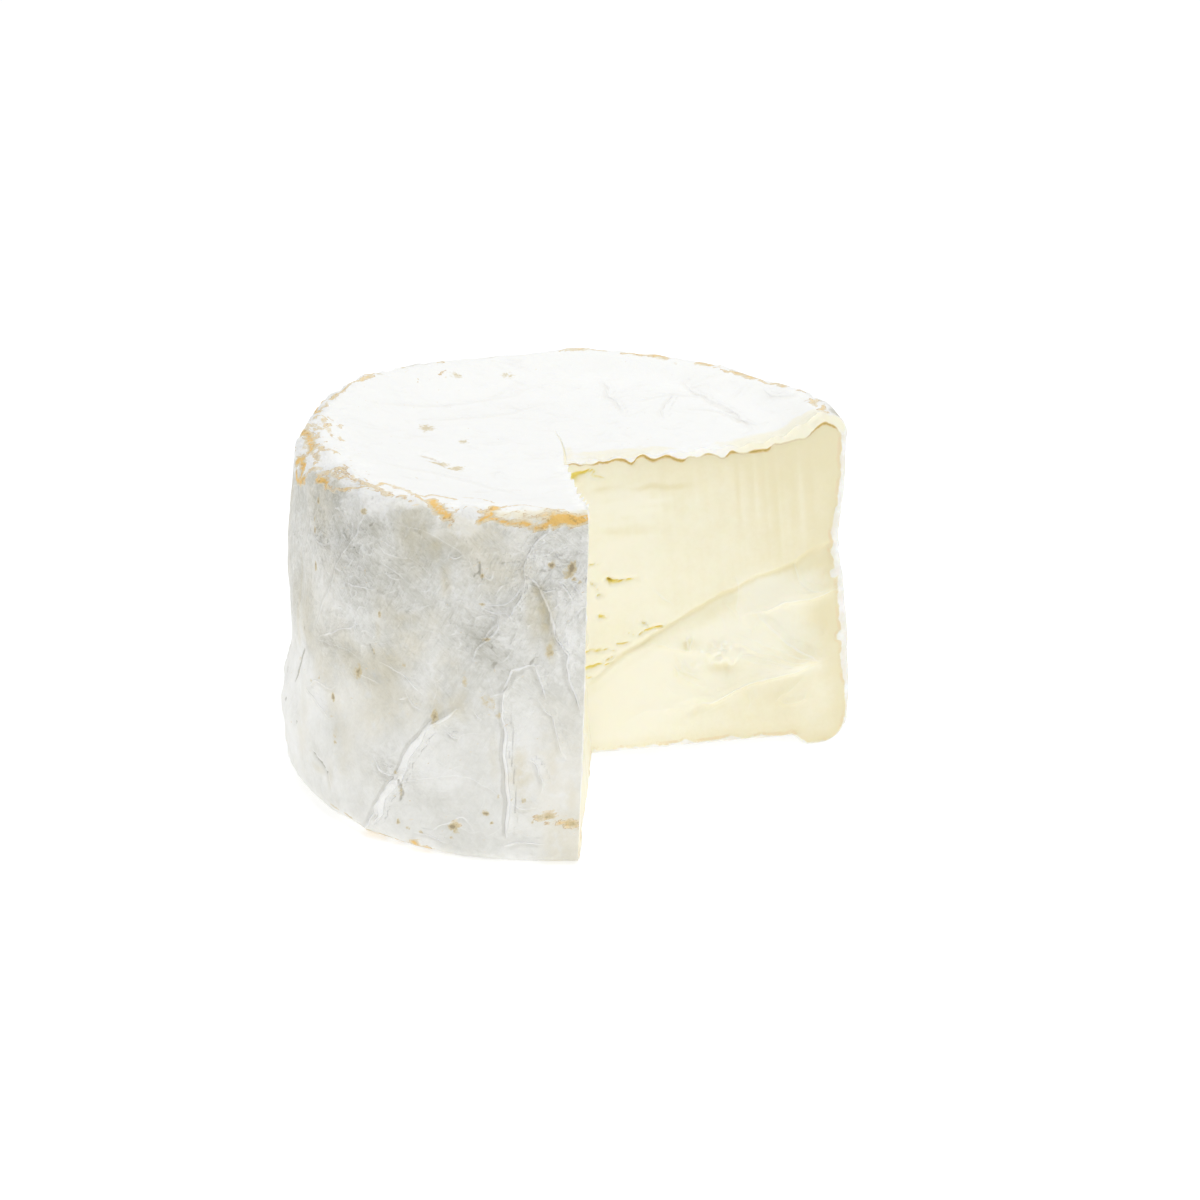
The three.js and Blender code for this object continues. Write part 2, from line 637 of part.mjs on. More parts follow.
// ---- What is cut out of the wheel afterwards ----
// The knife slit, which runs on past the inner corner, as a bent blade standing upright.
function makeSlitBlade() {
  const steps = 6;
  const overlap = 2;
  const alongX = Math.cos(SLIT_ANGLE * DEGREE);
  const alongY = Math.sin(SLIT_ANGLE * DEGREE);
  const edges = [1, -1].map((side) => {
    const edge = [];
    for (let i = 0; i < steps; i += 1) {
      const along = mix(-overlap, SLIT_LENGTH, i / steps);
      const share = along / SLIT_LENGTH;
      const bow = SLIT_BOW * 4 * share * (1 - share);
      const across = bow + (side * SLIT_WIDTH * (1 - share)) / 2;
      edge.push(new THREE.Vector2(
        INNER_TOP.x + along * alongX + across * alongY,
        INNER_TOP.y + along * alongY - across * alongX,
      ));
    }
    return edge;
  });
  const tip = new THREE.Vector2(INNER_TOP.x + SLIT_LENGTH * alongX, INNER_TOP.y + SLIT_LENGTH * alongY);
  const outline = new THREE.Shape([...edges[0], tip, ...edges[1].reverse()]);
  const blade = new THREE.ExtrudeGeometry(outline, { depth: SLIT_DEPTH + 4, bevelEnabled: false });
  blade.translate(0, 0, CENTRE_HEIGHT - SLIT_DEPTH);
  return blade;
}

// Flat eyes in the paste, open on the far face: distance along the cut, height, size, tilt.
const PASTE_EYES = [
  { along: 3.9, z: 64.4, length: 4.4, height: 1.4, depth: 3, tilt: 6 },
  { along: 9.6, z: 40.6, length: 6.4, height: 1.2, depth: 3, tilt: 1 },
];

function makePasteEye({ along, z, length, height, depth, tilt }) {
  const eye = new THREE.SphereGeometry(0.5, 10, 6);
  eye.scale(length, 2 * depth, height);
  eye.rotateY(-tilt * DEGREE);
  eye.rotateZ(FAR_ANGLE_TOP * DEGREE);
  const line = farCut(z);
  eye.translate(line.x + along * line.alongX, line.y + along * line.alongY, z);
  return eye;
}

function toManifold(wasm, geometry) {
  const bare = geometry.clone();
  bare.deleteAttribute("normal");
  bare.deleteAttribute("uv");
  const merged = mergeVertices(bare, 1e-4);
  return new wasm.Manifold(new wasm.Mesh({
    numProp: 3,
    vertProperties: new Float32Array(merged.attributes.position.array),
    triVerts: new Uint32Array(merged.index.array),
  }));
}

function toGeometry(solid) {
  const mesh = solid.getMesh();
  const geometry = new THREE.BufferGeometry();
  geometry.setAttribute("position", new THREE.Float32BufferAttribute(mesh.vertProperties, 3));
  geometry.setIndex(Array.from(mesh.triVerts));
  geometry.computeVertexNormals();
  return geometry;
}

const wasm = await Module();
wasm.setup();
let wheelSolid = toManifold(wasm, buildWheel());
for (const tool of [makeSlitBlade(), ...PASTE_EYES.map(makePasteEye)]) {
  wheelSolid = wheelSolid.subtract(toManifold(wasm, tool));
}

const cheeseMaterial = new THREE.MeshStandardMaterial({ color: 0xf1ecdd, roughness: 0.75, metalness: 0 });
const cheeseWheel = new THREE.Mesh(toGeometry(wheelSolid), cheeseMaterial);
cheeseWheel.name = "cheese_wheel";

const part = new THREE.Group();
part.add(cheeseWheel);

export default part;
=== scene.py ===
"""Looks of a tall soft-ripened cheese wheel with a wedge cut out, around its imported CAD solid.

The whole wheel is one fine closed skin: the white rind with its folds and ochre crust, and the
cream paste of the two cut faces. Lengths are in millimetres and angles in degrees until the mesh
is made. The wheel's axis is Z and it rests on z = 0. The missing wedge lies between the far cut,
which looks towards -Y, and the near cut, which looks towards +X.
"""
import math
from collections import namedtuple

import bpy
import numpy as np
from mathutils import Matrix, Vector


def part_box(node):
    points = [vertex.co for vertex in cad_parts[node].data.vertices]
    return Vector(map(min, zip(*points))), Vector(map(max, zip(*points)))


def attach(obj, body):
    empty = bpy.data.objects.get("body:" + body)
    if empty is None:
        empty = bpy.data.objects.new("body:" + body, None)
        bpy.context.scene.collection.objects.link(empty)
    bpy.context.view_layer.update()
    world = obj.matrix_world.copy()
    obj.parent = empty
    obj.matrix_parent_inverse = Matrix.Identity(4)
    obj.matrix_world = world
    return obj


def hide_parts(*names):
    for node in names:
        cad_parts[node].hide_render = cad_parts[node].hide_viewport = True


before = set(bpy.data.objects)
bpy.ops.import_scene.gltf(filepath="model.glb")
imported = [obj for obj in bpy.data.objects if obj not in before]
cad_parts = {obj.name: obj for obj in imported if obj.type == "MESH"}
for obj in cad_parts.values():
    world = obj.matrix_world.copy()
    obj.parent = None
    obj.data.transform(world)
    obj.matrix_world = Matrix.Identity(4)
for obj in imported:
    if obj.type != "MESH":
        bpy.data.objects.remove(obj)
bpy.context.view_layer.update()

# ---- The wheel, as its CAD solid has it ----
WHEEL_RADIUS = 57.1        # of the side, above its swollen foot
RIM_HEIGHT = 71.4          # floor to the crest of the rim
DISH_DEPTH = 4.0           # how far the middle of the top has sunk below the crest
LIP_WIDTH = 11.0           # how wide the slope from the crest into the dish is
LIP_WIDTH_SWING = 5.5      # it is that much wider at the front left, narrower behind
RIM_ROUNDING = 3.2         # radius of the top edge
RIM_ROUNDING_LEFT = 3.4    # added to it on the left, where the edge has slumped
RIM_ROUNDING_RIGHT = 1.4   # added to it beside the far cut
BASE_ROUNDING = 2.6        # radius of the bottom edge
BASE_ROUNDING_RIGHT = 3.4  # added to it beside the far cut
BASE_ROUNDING_LEFT = 2.4   # added to it at the front left
FOOT_INNER_RADIUS = 50.3   # inner edge of the flat ring that the wheel stands on
HOLLOW_DEPTH = 2.5         # how far the underside is hollow inside that ring
HOLLOW_CENTRE_DEPTH = 0.9  # added to it at the middle
HOLLOW_SLOPE = 3.5         # how wide the slope into that hollow is
OUT_OF_ROUND = 0.35
SOLID_WIDTH = 118.38       # of the whole solid along X, which sets the scale of everything here

# ---- The missing wedge ----
Corner = namedtuple("Corner", "x y")
Cut = namedtuple("Cut", "angle_top angle_bottom guess")
INNER_TOP = Corner(-0.5, -10.2)
INNER_BOTTOM = Corner(4.9, -8.5)
FAR_CUT = Cut(17.0, 16.2, 6.0)
NEAR_CUT = Cut(-83.9, -93.0, 274.0)
SLIT_LENGTH = 22.5
SLIT_WIDTH = 0.8
SLIT_LEAST_HALF = 0.16     # half width of its thin end
SLIT_DEPTH = 0.9
SLIT_ANGLE = 97.0
SLIT_BOW = 0.9             # how far its middle bends to the right

CENTRE_HEIGHT = RIM_HEIGHT - DISH_DEPTH
DEGREE = math.pi / 180
MM = 0.001

# ---- How fine the skin is ----
TOP_RINGS = 84
RIM_RINGS = 13
SIDE_RINGS = 112
BASE_RINGS = 9
HOLLOW_RINGS = 28
FRONT_SPACING = 0.52       # between neighbours along a ring, where the folds are finest
BACK_SPACING = 0.95
UNDERSIDE_SPACING = 2.4
FAR_FACE_COLUMNS = 128
NEAR_FACE_COLUMNS = 62
SHARP_ANGLE = 62           # edges more bent than this aren't smoothed over

TOP, SIDE, UNDERSIDE = range(3)


# ---- Small helpers ----
def mix(a, b, share):
    return a + (b - a) * share


def hump(distance, width):
    return np.exp(-((np.asarray(distance, float) / width) ** 2))


def oval(across, up, ragged=1):
    """A soft spot, told how far off each point is in units of its half width and half height."""
    return hump(np.hypot(across, up), ragged)


def smooth_step(start, end, value):
    share = np.clip((value - start) / (end - start), 0, 1)
    return share * share * (3 - 2 * share)


def within(start, full, fade, end, value):
    """Rises from 0 to 1 between start and full, and falls back to 0 between fade and end."""
    return smooth_step(start, full, value) * smooth_step(end, fade, value)


def turn(start, end):
    """Shortest signed way from one azimuth to another."""
    return (end - start + 180) % 360 - 180


def around_side(azimuth):
    """Millimetres around the side, on the skin rolled out flat."""
    return azimuth * DEGREE * WHEEL_RADIUS


def lattice_value(i, j, k, seed):
    """A repeatable random number from 0 to 1 for each corner of a cubic lattice."""
    wave = np.sin(i * 127.1 + j * 311.7 + k * 74.7 + seed * 19.19) * 43758.5453
    return wave - np.floor(wave)


def lumps(points, size, seed):
    """Smooth lumps between -1 and 1, about `size` across; a triple stretches them along the axes."""
    cell = points / np.asarray(size, float)
    corner = np.floor(cell)
    share = cell - corner
    share = share * share * (3 - 2 * share)
    total = np.zeros(len(points))
    for bits in range(8):
        weight = 1.0
        number = []
        for axis in range(3):
            step = (bits >> axis) & 1
            number.append(corner[:, axis] + step)
            weight = weight * (share[:, axis] if step else 1 - share[:, axis])
        total += weight * lattice_value(*number, seed)
    return 2 * total - 1


def layered(points, layers):
    """Sum of layers of lumps, each given as how high they rise, their size and their seed."""
    return sum(rise * lumps(points, size, seed) for rise, size, seed in layers)


def flat_points(across, up, depth=0.0):
    return np.stack([across, np.full_like(across, depth), up], axis=1)


def smooth_chain(chain, steps=5):
    """A chain of points rounded off by a curve through all of them."""
    points = np.asarray(chain, float)
    if len(points) < 3:
        return points
    before = np.vstack([2 * points[0] - points[1], points[:-2]])
    after = np.vstack([points[2:], 2 * points[-1] - points[-2]])
    curve = []
    for a, b, c, d in zip(before, points[:-1], points[1:], after):
        for i in range(steps):
            t = i / steps
            curve.append(0.5 * (2 * b + (c - a) * t + (2 * a - 5 * b + 4 * c - d) * t ** 2
                                + (3 * b - a - 3 * c + d) * t ** 3))
    return np.array(curve + [points[-1]])


Reach = namedtuple("Reach", "near distance side place past")


def reach_to_chain(across, up, chain, margin):
    """For the points within `margin` of a chain, what is known of each point.

    Its number; its distance; its distance to the left of the chain, where the chain runs on straight
    past its ends; its place along the chain from 0 to 1; and how far past an end it lies.
    """
    chain = np.asarray(chain, float)
    low = chain.min(axis=0) - margin
    high = chain.max(axis=0) + margin
    inside = (across > low[0]) & (across < high[0]) & (up > low[1]) & (up < high[1])
    near = np.nonzero(inside)[0]
    x = across[near]
    y = up[near]
    distance = np.full(len(near), np.inf)
    side = np.zeros(len(near))
    place = np.zeros(len(near))
    past = np.zeros(len(near))
    steps = np.diff(chain, axis=0)
    lengths = np.hypot(steps[:, 0], steps[:, 1])
    walked = 0.0
    for number, (start, step, length) in enumerate(zip(chain, steps, lengths)):
        free_share = ((x - start[0]) * step[0] + (y - start[1]) * step[1]) / length ** 2
        share = np.clip(free_share, 0, 1)
        gap_x = x - start[0] - share * step[0]
        gap_y = y - start[1] - share * step[1]
        gap = np.hypot(gap_x, gap_y)
        left = (step[0] * (y - start[1]) - step[1] * (x - start[0])) / length
        over = np.zeros(len(near))
        if number == 0:
            over = np.maximum(over, -free_share * length)
        if number == len(steps) - 1:
            over = np.maximum(over, (free_share - 1) * length)
        closer = gap < distance
        distance = np.where(closer, gap, distance)
        side = np.where(closer, np.where(over > 0, left, np.sign(left) * gap), side)
        place = np.where(closer, (walked + share * length) / lengths.sum(), place)
        past = np.where(closer, over, past)
        walked += length
    return Reach(near, distance, side, place, past)


# ---- Thin lines, drawn by the materials finer than the mesh is ----
LINE_CHANNELS = 4
LINE_REACH = 1.6           # how far from a line a channel still knows it
LINE_TAPER = 1.2           # a line dies out over this length past its ends
END_SHARE = 0.35           # share of its strength or rise that a line or crease has at its ends
FAINTEST_LINE = 0.01
CLASH = 0.02               # strength from which another line keeps a random one away
RANDOM_FADE = 0.4          # share of a random line's length over which it fades at each end
SHADED_SIDE = (-0.8, -0.6)  # the way from a ridge to its shaded side, across and up


class Lines:
    """How far each point lies to the shaded side of a thin line, and how strong that line is there.

    A channel knows one line at a place, so lines that come near each other go to different ones.
    """

    def __init__(self, count):
        self.side = np.full((LINE_CHANNELS, count), LINE_REACH)
        self.strength = np.zeros((LINE_CHANNELS, count))

    def draw(self, across, up, strength, chain, fade=0.18, only_if_free=False):
        reach = reach_to_chain(across, up, chain, LINE_REACH + LINE_TAPER)
        run = np.subtract(chain[-1], chain[0])
        shaded_left = run[0] * SHADED_SIDE[1] - run[1] * SHADED_SIDE[0] > 0
        side = reach.side if shaded_left else -reach.side
        ends = mix(END_SHARE, 1, smooth_step(0, fade, np.minimum(reach.place, 1 - reach.place)))
        ends = ends * (1 - smooth_step(0, LINE_TAPER, reach.past))
        value = strength * ends * (1 - smooth_step(0.6 * LINE_REACH, LINE_REACH, np.abs(reach.side)))
        value = value * (reach.distance < LINE_REACH + LINE_TAPER)
        known = value > FAINTEST_LINE
        near = reach.near[known]
        if not len(near):
            return
        clash = self.strength[:, near].sum(axis=1)
        channel = int(np.argmin(clash))
        if only_if_free and clash[channel] > CLASH:
            return
        stronger = value[known] > self.strength[channel, near]
        chosen = near[stronger]
        self.strength[channel, chosen] = value[known][stronger]
        self.side[channel, chosen] = side[known][stronger]

    def scatter(self, sheet, chains, share_at=lambda across, up: 1):
        """Draws random lines where there is none yet, each as strong as its place allows."""
        for strength, _, chain in chains:
            self.draw(*sheet, strength * share_at(*chain[1]), smooth_chain(chain), RANDOM_FADE,
                      only_if_free=True)

    def paint(self):
        layers = {}
        for number in range(LINE_CHANNELS):
            layers[f"side_{number}"] = self.side[number]
            layers[f"line_{number}"] = self.strength[number]
        return layers


# ---- Form of the wheel ----
# Where the side bulges or draws in: rise, azimuth, spread, height, reach.
SIDE_SWELLS = [
    (1.6, 0, np.inf, 12, 15),    # swollen foot, all round
    (1.3, 243, 36, 2, 9),        # flare at the front left
    (0.7, 5, 30, 42, 34),        # bulge at the right
    (-1.9, 5, 26, 46, 10),       # waist beside the far cut
    (0.5, 184, 32, 16, 4.5),     # ledge low on the left
    (-1.9, 184, 32, 67, 13),     # slumped left shoulder
    (-0.8, 182, 28, 27, 9),      # flat stretch low on the left
]


def side_radius(azimuth, z):
    radius = WHEEL_RADIUS + OUT_OF_ROUND * np.sin(2 * azimuth * DEGREE + 1.1)
    for rise, centre, spread, height, reach in SIDE_SWELLS:
        radius = radius + rise * hump(turn(centre, azimuth), spread) * hump(z - height, reach)
    return radius


def rim_rounding(azimuth):
    left = RIM_ROUNDING_LEFT * hump(turn(192, azimuth), 36)
    return RIM_ROUNDING + left + RIM_ROUNDING_RIGHT * hump(turn(5, azimuth), 16)


def base_rounding(azimuth):
    left = BASE_ROUNDING_LEFT * hump(turn(204, azimuth), 22)
    return BASE_ROUNDING + left + BASE_ROUNDING_RIGHT * hump(turn(5, azimuth), 24)


# How far the crest rises above RIM_HEIGHT around the wheel, as azimuth and rise.
CREST_RISES = np.array([
    [0, 1.0], [5, 1.5], [12, 0.9], [20, 0.1], [32, -0.2], [39, -1.1], [46, -1.3], [53, -0.5], [62, -0.5],
    [70, 0], [80, 0.5], [86, 0.8], [92, 0.2], [98, -0.2], [108, -0.8], [116, -0.3], [124, 0.4], [134, 0.6],
    [142, 0.9], [149, 1.2], [155, 0.3], [162, -0.3], [172, -0.1], [182, 0.2], [210, 0.35], [220, 0],
    [230, -0.4], [240, -0.3], [250, 0], [272, 0], [290, 0.4], [310, -0.2], [350, 0], [360, 1.0],
])


def crest_height(azimuth):
    return RIM_HEIGHT + np.interp(azimuth % 360, CREST_RISES[:, 0], CREST_RISES[:, 1])


def crest_radius(azimuth):
    return side_radius(azimuth, RIM_HEIGHT - RIM_ROUNDING) - rim_rounding(azimuth)


def azimuth_of(x, y):
    return np.arctan2(y, x) / DEGREE % 360


def top_height(x, y):
    azimuth = azimuth_of(x, y)
    inward = np.maximum(0, crest_radius(azimuth) - np.hypot(x, y))
    lip_width = LIP_WIDTH + LIP_WIDTH_SWING * np.cos((azimuth - 240) * DEGREE)
    return mix(CENTRE_HEIGHT, crest_height(azimuth), hump(inward, lip_width))


def hollow_height(x, y):
    from_axis = np.hypot(x, y)
    depth = HOLLOW_DEPTH + HOLLOW_CENTRE_DEPTH * hump(from_axis, 25)
    return depth * smooth_step(0, HOLLOW_SLOPE, FOOT_INNER_RADIUS - from_axis)


def cut_line(cut, z):
    """The level line of a cut at some height: a point on it and its direction."""
    share = np.clip((z - HOLLOW_DEPTH) / (CENTRE_HEIGHT - HOLLOW_DEPTH), 0, 1)
    angle = mix(cut.angle_bottom, cut.angle_top, share) * DEGREE
    x = mix(INNER_BOTTOM.x, INNER_TOP.x, share)
    y = mix(INNER_BOTTOM.y, INNER_TOP.y, share)
    return x, y, np.cos(angle), np.sin(angle)


def cut_azimuth(cut, z, radius_at):
    """Azimuth at which a ring of the skin, whose radius changes along it, ends at a cut."""
    azimuth = cut.guess
    x, y, along_x, along_y = cut_line(cut, z)
    for _ in range(5):
        along = x * along_x + y * along_y
        reach = -along + math.sqrt(along ** 2 - x ** 2 - y ** 2 + radius_at(azimuth) ** 2)
        angle = azimuth_of(x + reach * along_x, y + reach * along_y)
        azimuth = cut.guess + turn(cut.guess, angle)
    return float(azimuth)


# ---- Folds of the side, as azimuth and height ----
# The large ones are those of the CAD solid, but lower in the middle of the long fold and beside it:
# rise, width of the skirt, places.
SIDE_FOLDS = [
    (0.5, 2.2, [[211.4, 40.1], [214.6, 47.2], [224.0, 61.9], [227.4, 67.6]]),
    (1.1, 2.4, [[227.9, 2.2], [230.0, 6.1], [234.9, 13.6], [239.0, 21.6], [243.3, 26.3], [247.8, 30.5]]),
    (0.4, 2.4, [[247.2, 31.7], [249.0, 36.0], [252.2, 41.7], [255.6, 46.0], [259.2, 50.3]]),
    (0.6, 2.4, [[259.2, 50.3], [262.1, 57.5], [262.1, 62.5], [263.8, 65.7], [267.4, 68.5]]),
    (-0.35, 2.8, [[243, 33.5], [249.6, 42], [256, 51]]),
    (0.9, 2.2, [[258.9, 6.6], [258.5, 14.5], [258.0, 25.0], [258.3, 33.0], [259.1, 37.8]]),
    (0.7, 2.2, [[258.3, 36.5], [259.2, 39.8], [259.9, 40.7], [263.2, 41.5], [263.9, 41.1],
                [264.3, 38.7], [265.9, 35.0]]),
    (0.9, 2.3, [[272.6, 32.2], [270.4, 40.3], [268.3, 47.1], [267.3, 53.0], [264.8, 58.2], [262.8, 60.0]]),
    (-0.8, 3.4, [[264.4, 57.5], [264.8, 44]]),
    (-0.5, 2.4, [[199.5, 62], [199, 44], [201.5, 33]]),
    (0.6, 2.4, [[205.5, 24.6], [210.5, 23.6], [214.8, 21.5]]),
    (0.8, 2.6, [[176, 8], [168, 27], [171, 43]]),
    (-0.6, 2.8, [[158, 60], [151, 44], [156, 30]]),
    (0.8, 2.5, [[128, 66], [120, 48], [124, 30], [117, 9]]),
    (0.7, 2.4, [[104, 14], [93, 31], [86, 52]]),
    (-0.6, 2.9, [[74, 62], [70, 40]]),
    (0.8, 2.5, [[58, 6], [49, 24], [52, 41], [43, 58]]),
    (-0.6, 2.6, [[27, 58], [31, 38], [24, 20]]),
]
# Stretches of them whose crest is drawn broad and white, partly the thicker mould on it and partly painted
# highlight: strength of the line, places.
WIDE_CRESTS = [
    (2.5, [[230.2, 4.4], [231.8, 7.4], [233.9, 11.2], [236.7, 15.1], [238.3, 19.3],
           [241.2, 23.9], [243.6, 27.4]]),
    (1.7, [[258.9, 6.5], [258.6, 12.9], [258.3, 20.0], [258.2, 27.0]]),
]
SKIRT_SHARE = 0.55         # of a fold's rise that its wide skirt has
CREST_SHARE = 0.4          # and that its narrow crest has
CREST_NARROWING = 0.27     # width of the crest over the width of the skirt
CREST_LINE = 1.1           # strength of the thin line on the crest, for each millimetre of rise
LEAST_CREST = 0.5          # folds lower than this have no such line
FINE_LINE = 2.1            # the same for the fine creases

# Fine creases of the skin that stand on no skirt: rise, width, places.
FINE_FOLDS = [
    (0.38, 0.5, [[222.1, 51.6], [224.3, 51.4], [227.9, 52.0]]),
    (0.2, 0.6, [[231.8, 58.2], [234.8, 56.8], [237.7, 54.8]]),
    (0.2, 0.6, [[231.7, 56.5], [233.8, 55.7], [236.3, 55.1]]),
    (0.35, 0.5, [[247.5, 61.7], [248.6, 61.4], [250.0, 62.2]]),
    (0.5, 0.9, [[209.1, 57.0], [212.2, 57.1], [215.8, 58.4]]),
    (0.14, 1.0, [[234.6, 66.6], [241.6, 66.5], [247.1, 64.3], [252, 61]]),
    (0.4, 0.7, [[268.7, 58.0], [269.9, 56.4], [271.0, 54.3]]),
    (0.35, 0.7, [[271.0, 58.0], [272.4, 56.3], [273.2, 54.2]]),
    (0.4, 0.7, [[253.5, 51.7], [255.2, 51.1], [256.8, 50.7], [258.4, 51.3], [259.8, 50.3]]),
    (0.35, 0.7, [[256.8, 50.7], [256.8, 48.8], [255.1, 47.2], [254.3, 45.8]]),
    (0.35, 0.7, [[253.9, 52.9], [256.4, 53.2], [258.4, 53.6], [259.6, 55.2], [261.6, 57.4]]),
    (0.3, 0.5, [[235.6, 30.6], [237.2, 31.0]]),
    (0.38, 0.5, [[238.0, 31.2], [238.7, 29.9], [240.0, 29.4]]),
    (0.45, 0.55, [[246.8, 26.1], [247.3, 25.6], [248.1, 25.2]]),
    (0.3, 0.5, [[252.3, 30.4], [253.1, 29.6]]),
    (0.28, 0.7, [[231.3, 36.7], [234.4, 36.5], [237.3, 35.9], [240.5, 32.6]]),
    (0.4, 0.7, [[212.5, 37.9], [216.5, 39.6], [219.4, 41.1], [224.0, 42.8]]),
    (0.16, 0.8, [[210.8, 36.8], [214.9, 36.9], [221.3, 36.6], [225.0, 35.5]]),
    (0.35, 0.7, [[206.8, 25.6], [211.2, 27.8], [215.3, 28.3], [217.2, 29.3]]),
    (0.25, 0.7, [[224.9, 32.5], [229.0, 32.7], [230.1, 32.1]]),
    (0.12, 0.8, [[235.6, 13.6], [243.1, 16.4], [250.1, 17.1], [254.8, 15.4], [257.7, 13.5]]),
    (0.35, 0.8, [[257.4, 50.2], [256.8, 47.5], [253.1, 44.0], [251.6, 41.2]]),
    (0.35, 0.7, [[263.4, 21.7], [264.6, 20.5], [265.4, 18.3], [265.2, 15.7]]),
    (0.3, 0.6, [[259.7, 12.8], [261.7, 12.1], [263.7, 12.0]]),
    (0.4, 0.6, [[258.8, 4.2], [261.7, 5.1], [264.5, 5.0]]),
    (0.2, 0.6, [[243.4, 5.3], [246.1, 7.6], [249.2, 8.8], [250.9, 7.5]]),
    (0.35, 0.6, [[240.6, 4.3], [243.4, 4.0], [246.1, 3.4]]),
    (0.4, 0.8, [[230.1, 16.6], [232.0, 14.9], [234.6, 15.2], [236.7, 16.4]]),
    (0.3, 0.6, [[256.6, 34.8], [258.3, 35.8], [259.1, 37.4]]),
    (0.3, 0.7, [[264.8, 33.6], [267.9, 29.0], [269.8, 22.6]]),
    (0.25, 0.8, [[203.5, 66.0], [205.4, 58.0], [203.0, 50.0], [205.0, 43.0]]),
    (0.25, 0.9, [[196.0, 58.0], [194.6, 46.0], [197.0, 36.0]]),
    (0.12, 0.8, [[229.5, 62.4], [233.0, 60.2], [238.6, 60.0], [244.5, 56.8]]),
    (0.12, 0.8, [[217.6, 63.4], [222.0, 61.0], [227.0, 57.5]]),
    (0.25, 0.8, [[210.4, 12.8], [213.8, 11.3], [216.1, 9.4], [217.1, 7.5]]),
]

# Random small creases of the skin: how many, their seed, length, rise, width and lean.
Wrinkles = namedtuple("Wrinkles", "count seed length rise width lean")
SIDE_WRINKLES = Wrinkles(260, 41, (2.5, 12.0), (0.04, 0.14), (0.6, 1.2), 62)
SIDE_HAIRLINES = Wrinkles(300, 44, (2.0, 9.0), (0.08, 0.3), (0, 1), 62)
SIDE_FLECKS = Wrinkles(900, 47, (0.7, 3.2), (0.25, 0.8), (0, 1), 40)
TOP_WRINKLES = Wrinkles(190, 42, (3.0, 14.0), (-0.16, 0.2), (0.6, 1.2), 15)
TOP_HAIRLINES = Wrinkles(420, 45, (2.0, 9.0), (0.1, 0.34), (0, 1), 15)
RANDOM_PITS = Wrinkles(34, 43, (0.5, 1.8), (-0.2, -0.1), (0.25, 0.4), 80)
LEAN_SPREAD = 38           # of the angles around the lean
BEND_SPREAD = 0.16         # of how far they bow, for each millimetre of length
WRINKLED_AZIMUTHS = (6, 274)
WRINKLED_HEIGHTS = (3, 67)
HAIRLINES_FAINT = (18, 48)  # heights between which the hairlines get fainter downwards
FLECKS_FROM = 32           # height above which the small crisp ridges begin
FLECKS_FULL = 48           # and from which they have their full strength
FLECKED_SPOTS = [(266, 13), (217, 12)]  # where there are most of them: azimuth, spread

RIND_LUMPS = [(0.45, 17, 11), (0.28, 7.5, 12)]
RIND_GRAIN = [(0.17, 3.4, 51), (0.1, 1.7, 52)]
TOP_LUMPS = [(0.35, 15, 13), (0.22, 6.5, 14)]
TOP_GRAIN = [(0.10, 3.0, 53), (0.045, 1.5, 54)]
UNDERSIDE_LUMPS = [(0.18, 15, 15), (0.1, 5, 16)]
CRUST_LUMPS = [(1.0, 3.6, 21), (0.6, 6.5, 22)]
CRUST_CHIPS = [(0.55, 1.9, 23), (0.3, 1.15, 24)]
CRUST_BED = -0.45          # the crust's scales stand on a skin sunk by this much
ROUGH_GRAIN = [(0.34, 2.1, 55), (0.18, 1.1, 56)]
FOLD_WANDER = 0.75         # how far the crests wander off their straight way, in waves of this size
FOLD_WANDER_SIZE = 5.5
FINE_WANDER = 0.3          # and by how much more in small waves
FINE_WANDER_SIZE = 1.9

# Rough stretches of the side: azimuth, spread, height, reach, strength.
ROUGH_SPOTS = [
    (267.5, 7.0, 62, 7, 1.0),
    (216, 11, 68, 6, 0.7),
    (212, 6, 60, 4.5, 1.0),
    (221, 5, 59, 5, 0.6),
    (230, 6, 66, 3, 0.5),
    (254, 6, 46, 6, 0.8),
    (216, 9, 36, 4, 0.6),
    (234, 6, 16, 4, 0.6),
    (5, 7, 36, 26, 0.9),
    (150, 20, 62, 7, 0.6),
    (98, 14, 40, 12, 0.6),
    (48, 12, 58, 9, 0.6),
]

# Longer cracks of the side, as places.
SIDE_PITS = [
    [[203.7, 37.8], [203.0, 35.0], [202.0, 32.6]],
    [[201.2, 31.0], [198.4, 24.3], [197.0, 22.3]],
    [[228.0, 39.7], [228.9, 37.9]],
    [[236.2, 14.4], [236.6, 11.8], [236.0, 10.2]],
    [[253.3, 62.2], [253.5, 60.6], [253.8, 58.6]],
    [[210.4, 12.4], [213.8, 10.9], [216.1, 9.0]],
]
PIT_DEPTH = 0.32           # of these cracks
PIT_WIDTH = 0.42


def unrolled(chain):
    """Places on the side as millimetres on a flat sheet."""
    return [[around_side(azimuth), height] for azimuth, height in chain]


def random_chains(kind, low, high):
    """Short bent chains scattered over a rectangle, each with its rise and width."""
    draw = np.random.default_rng(kind.seed)
    chains = []
    for _ in range(kind.count):
        centre = draw.uniform(low, high)
        length = draw.uniform(*kind.length) * draw.uniform(0.5, 1)
        angle = (kind.lean + draw.normal(0, LEAN_SPREAD)) * DEGREE
        bend = draw.normal(0, BEND_SPREAD) * length
        ahead = np.array([math.cos(angle), math.sin(angle)])
        aside = np.array([-ahead[1], ahead[0]])
        middle = centre + bend * aside
        chain = [centre - ahead * length / 2, middle, centre + ahead * length / 2]
        chains.append((draw.uniform(*kind.rise), draw.uniform(*kind.width), chain))
    return chains


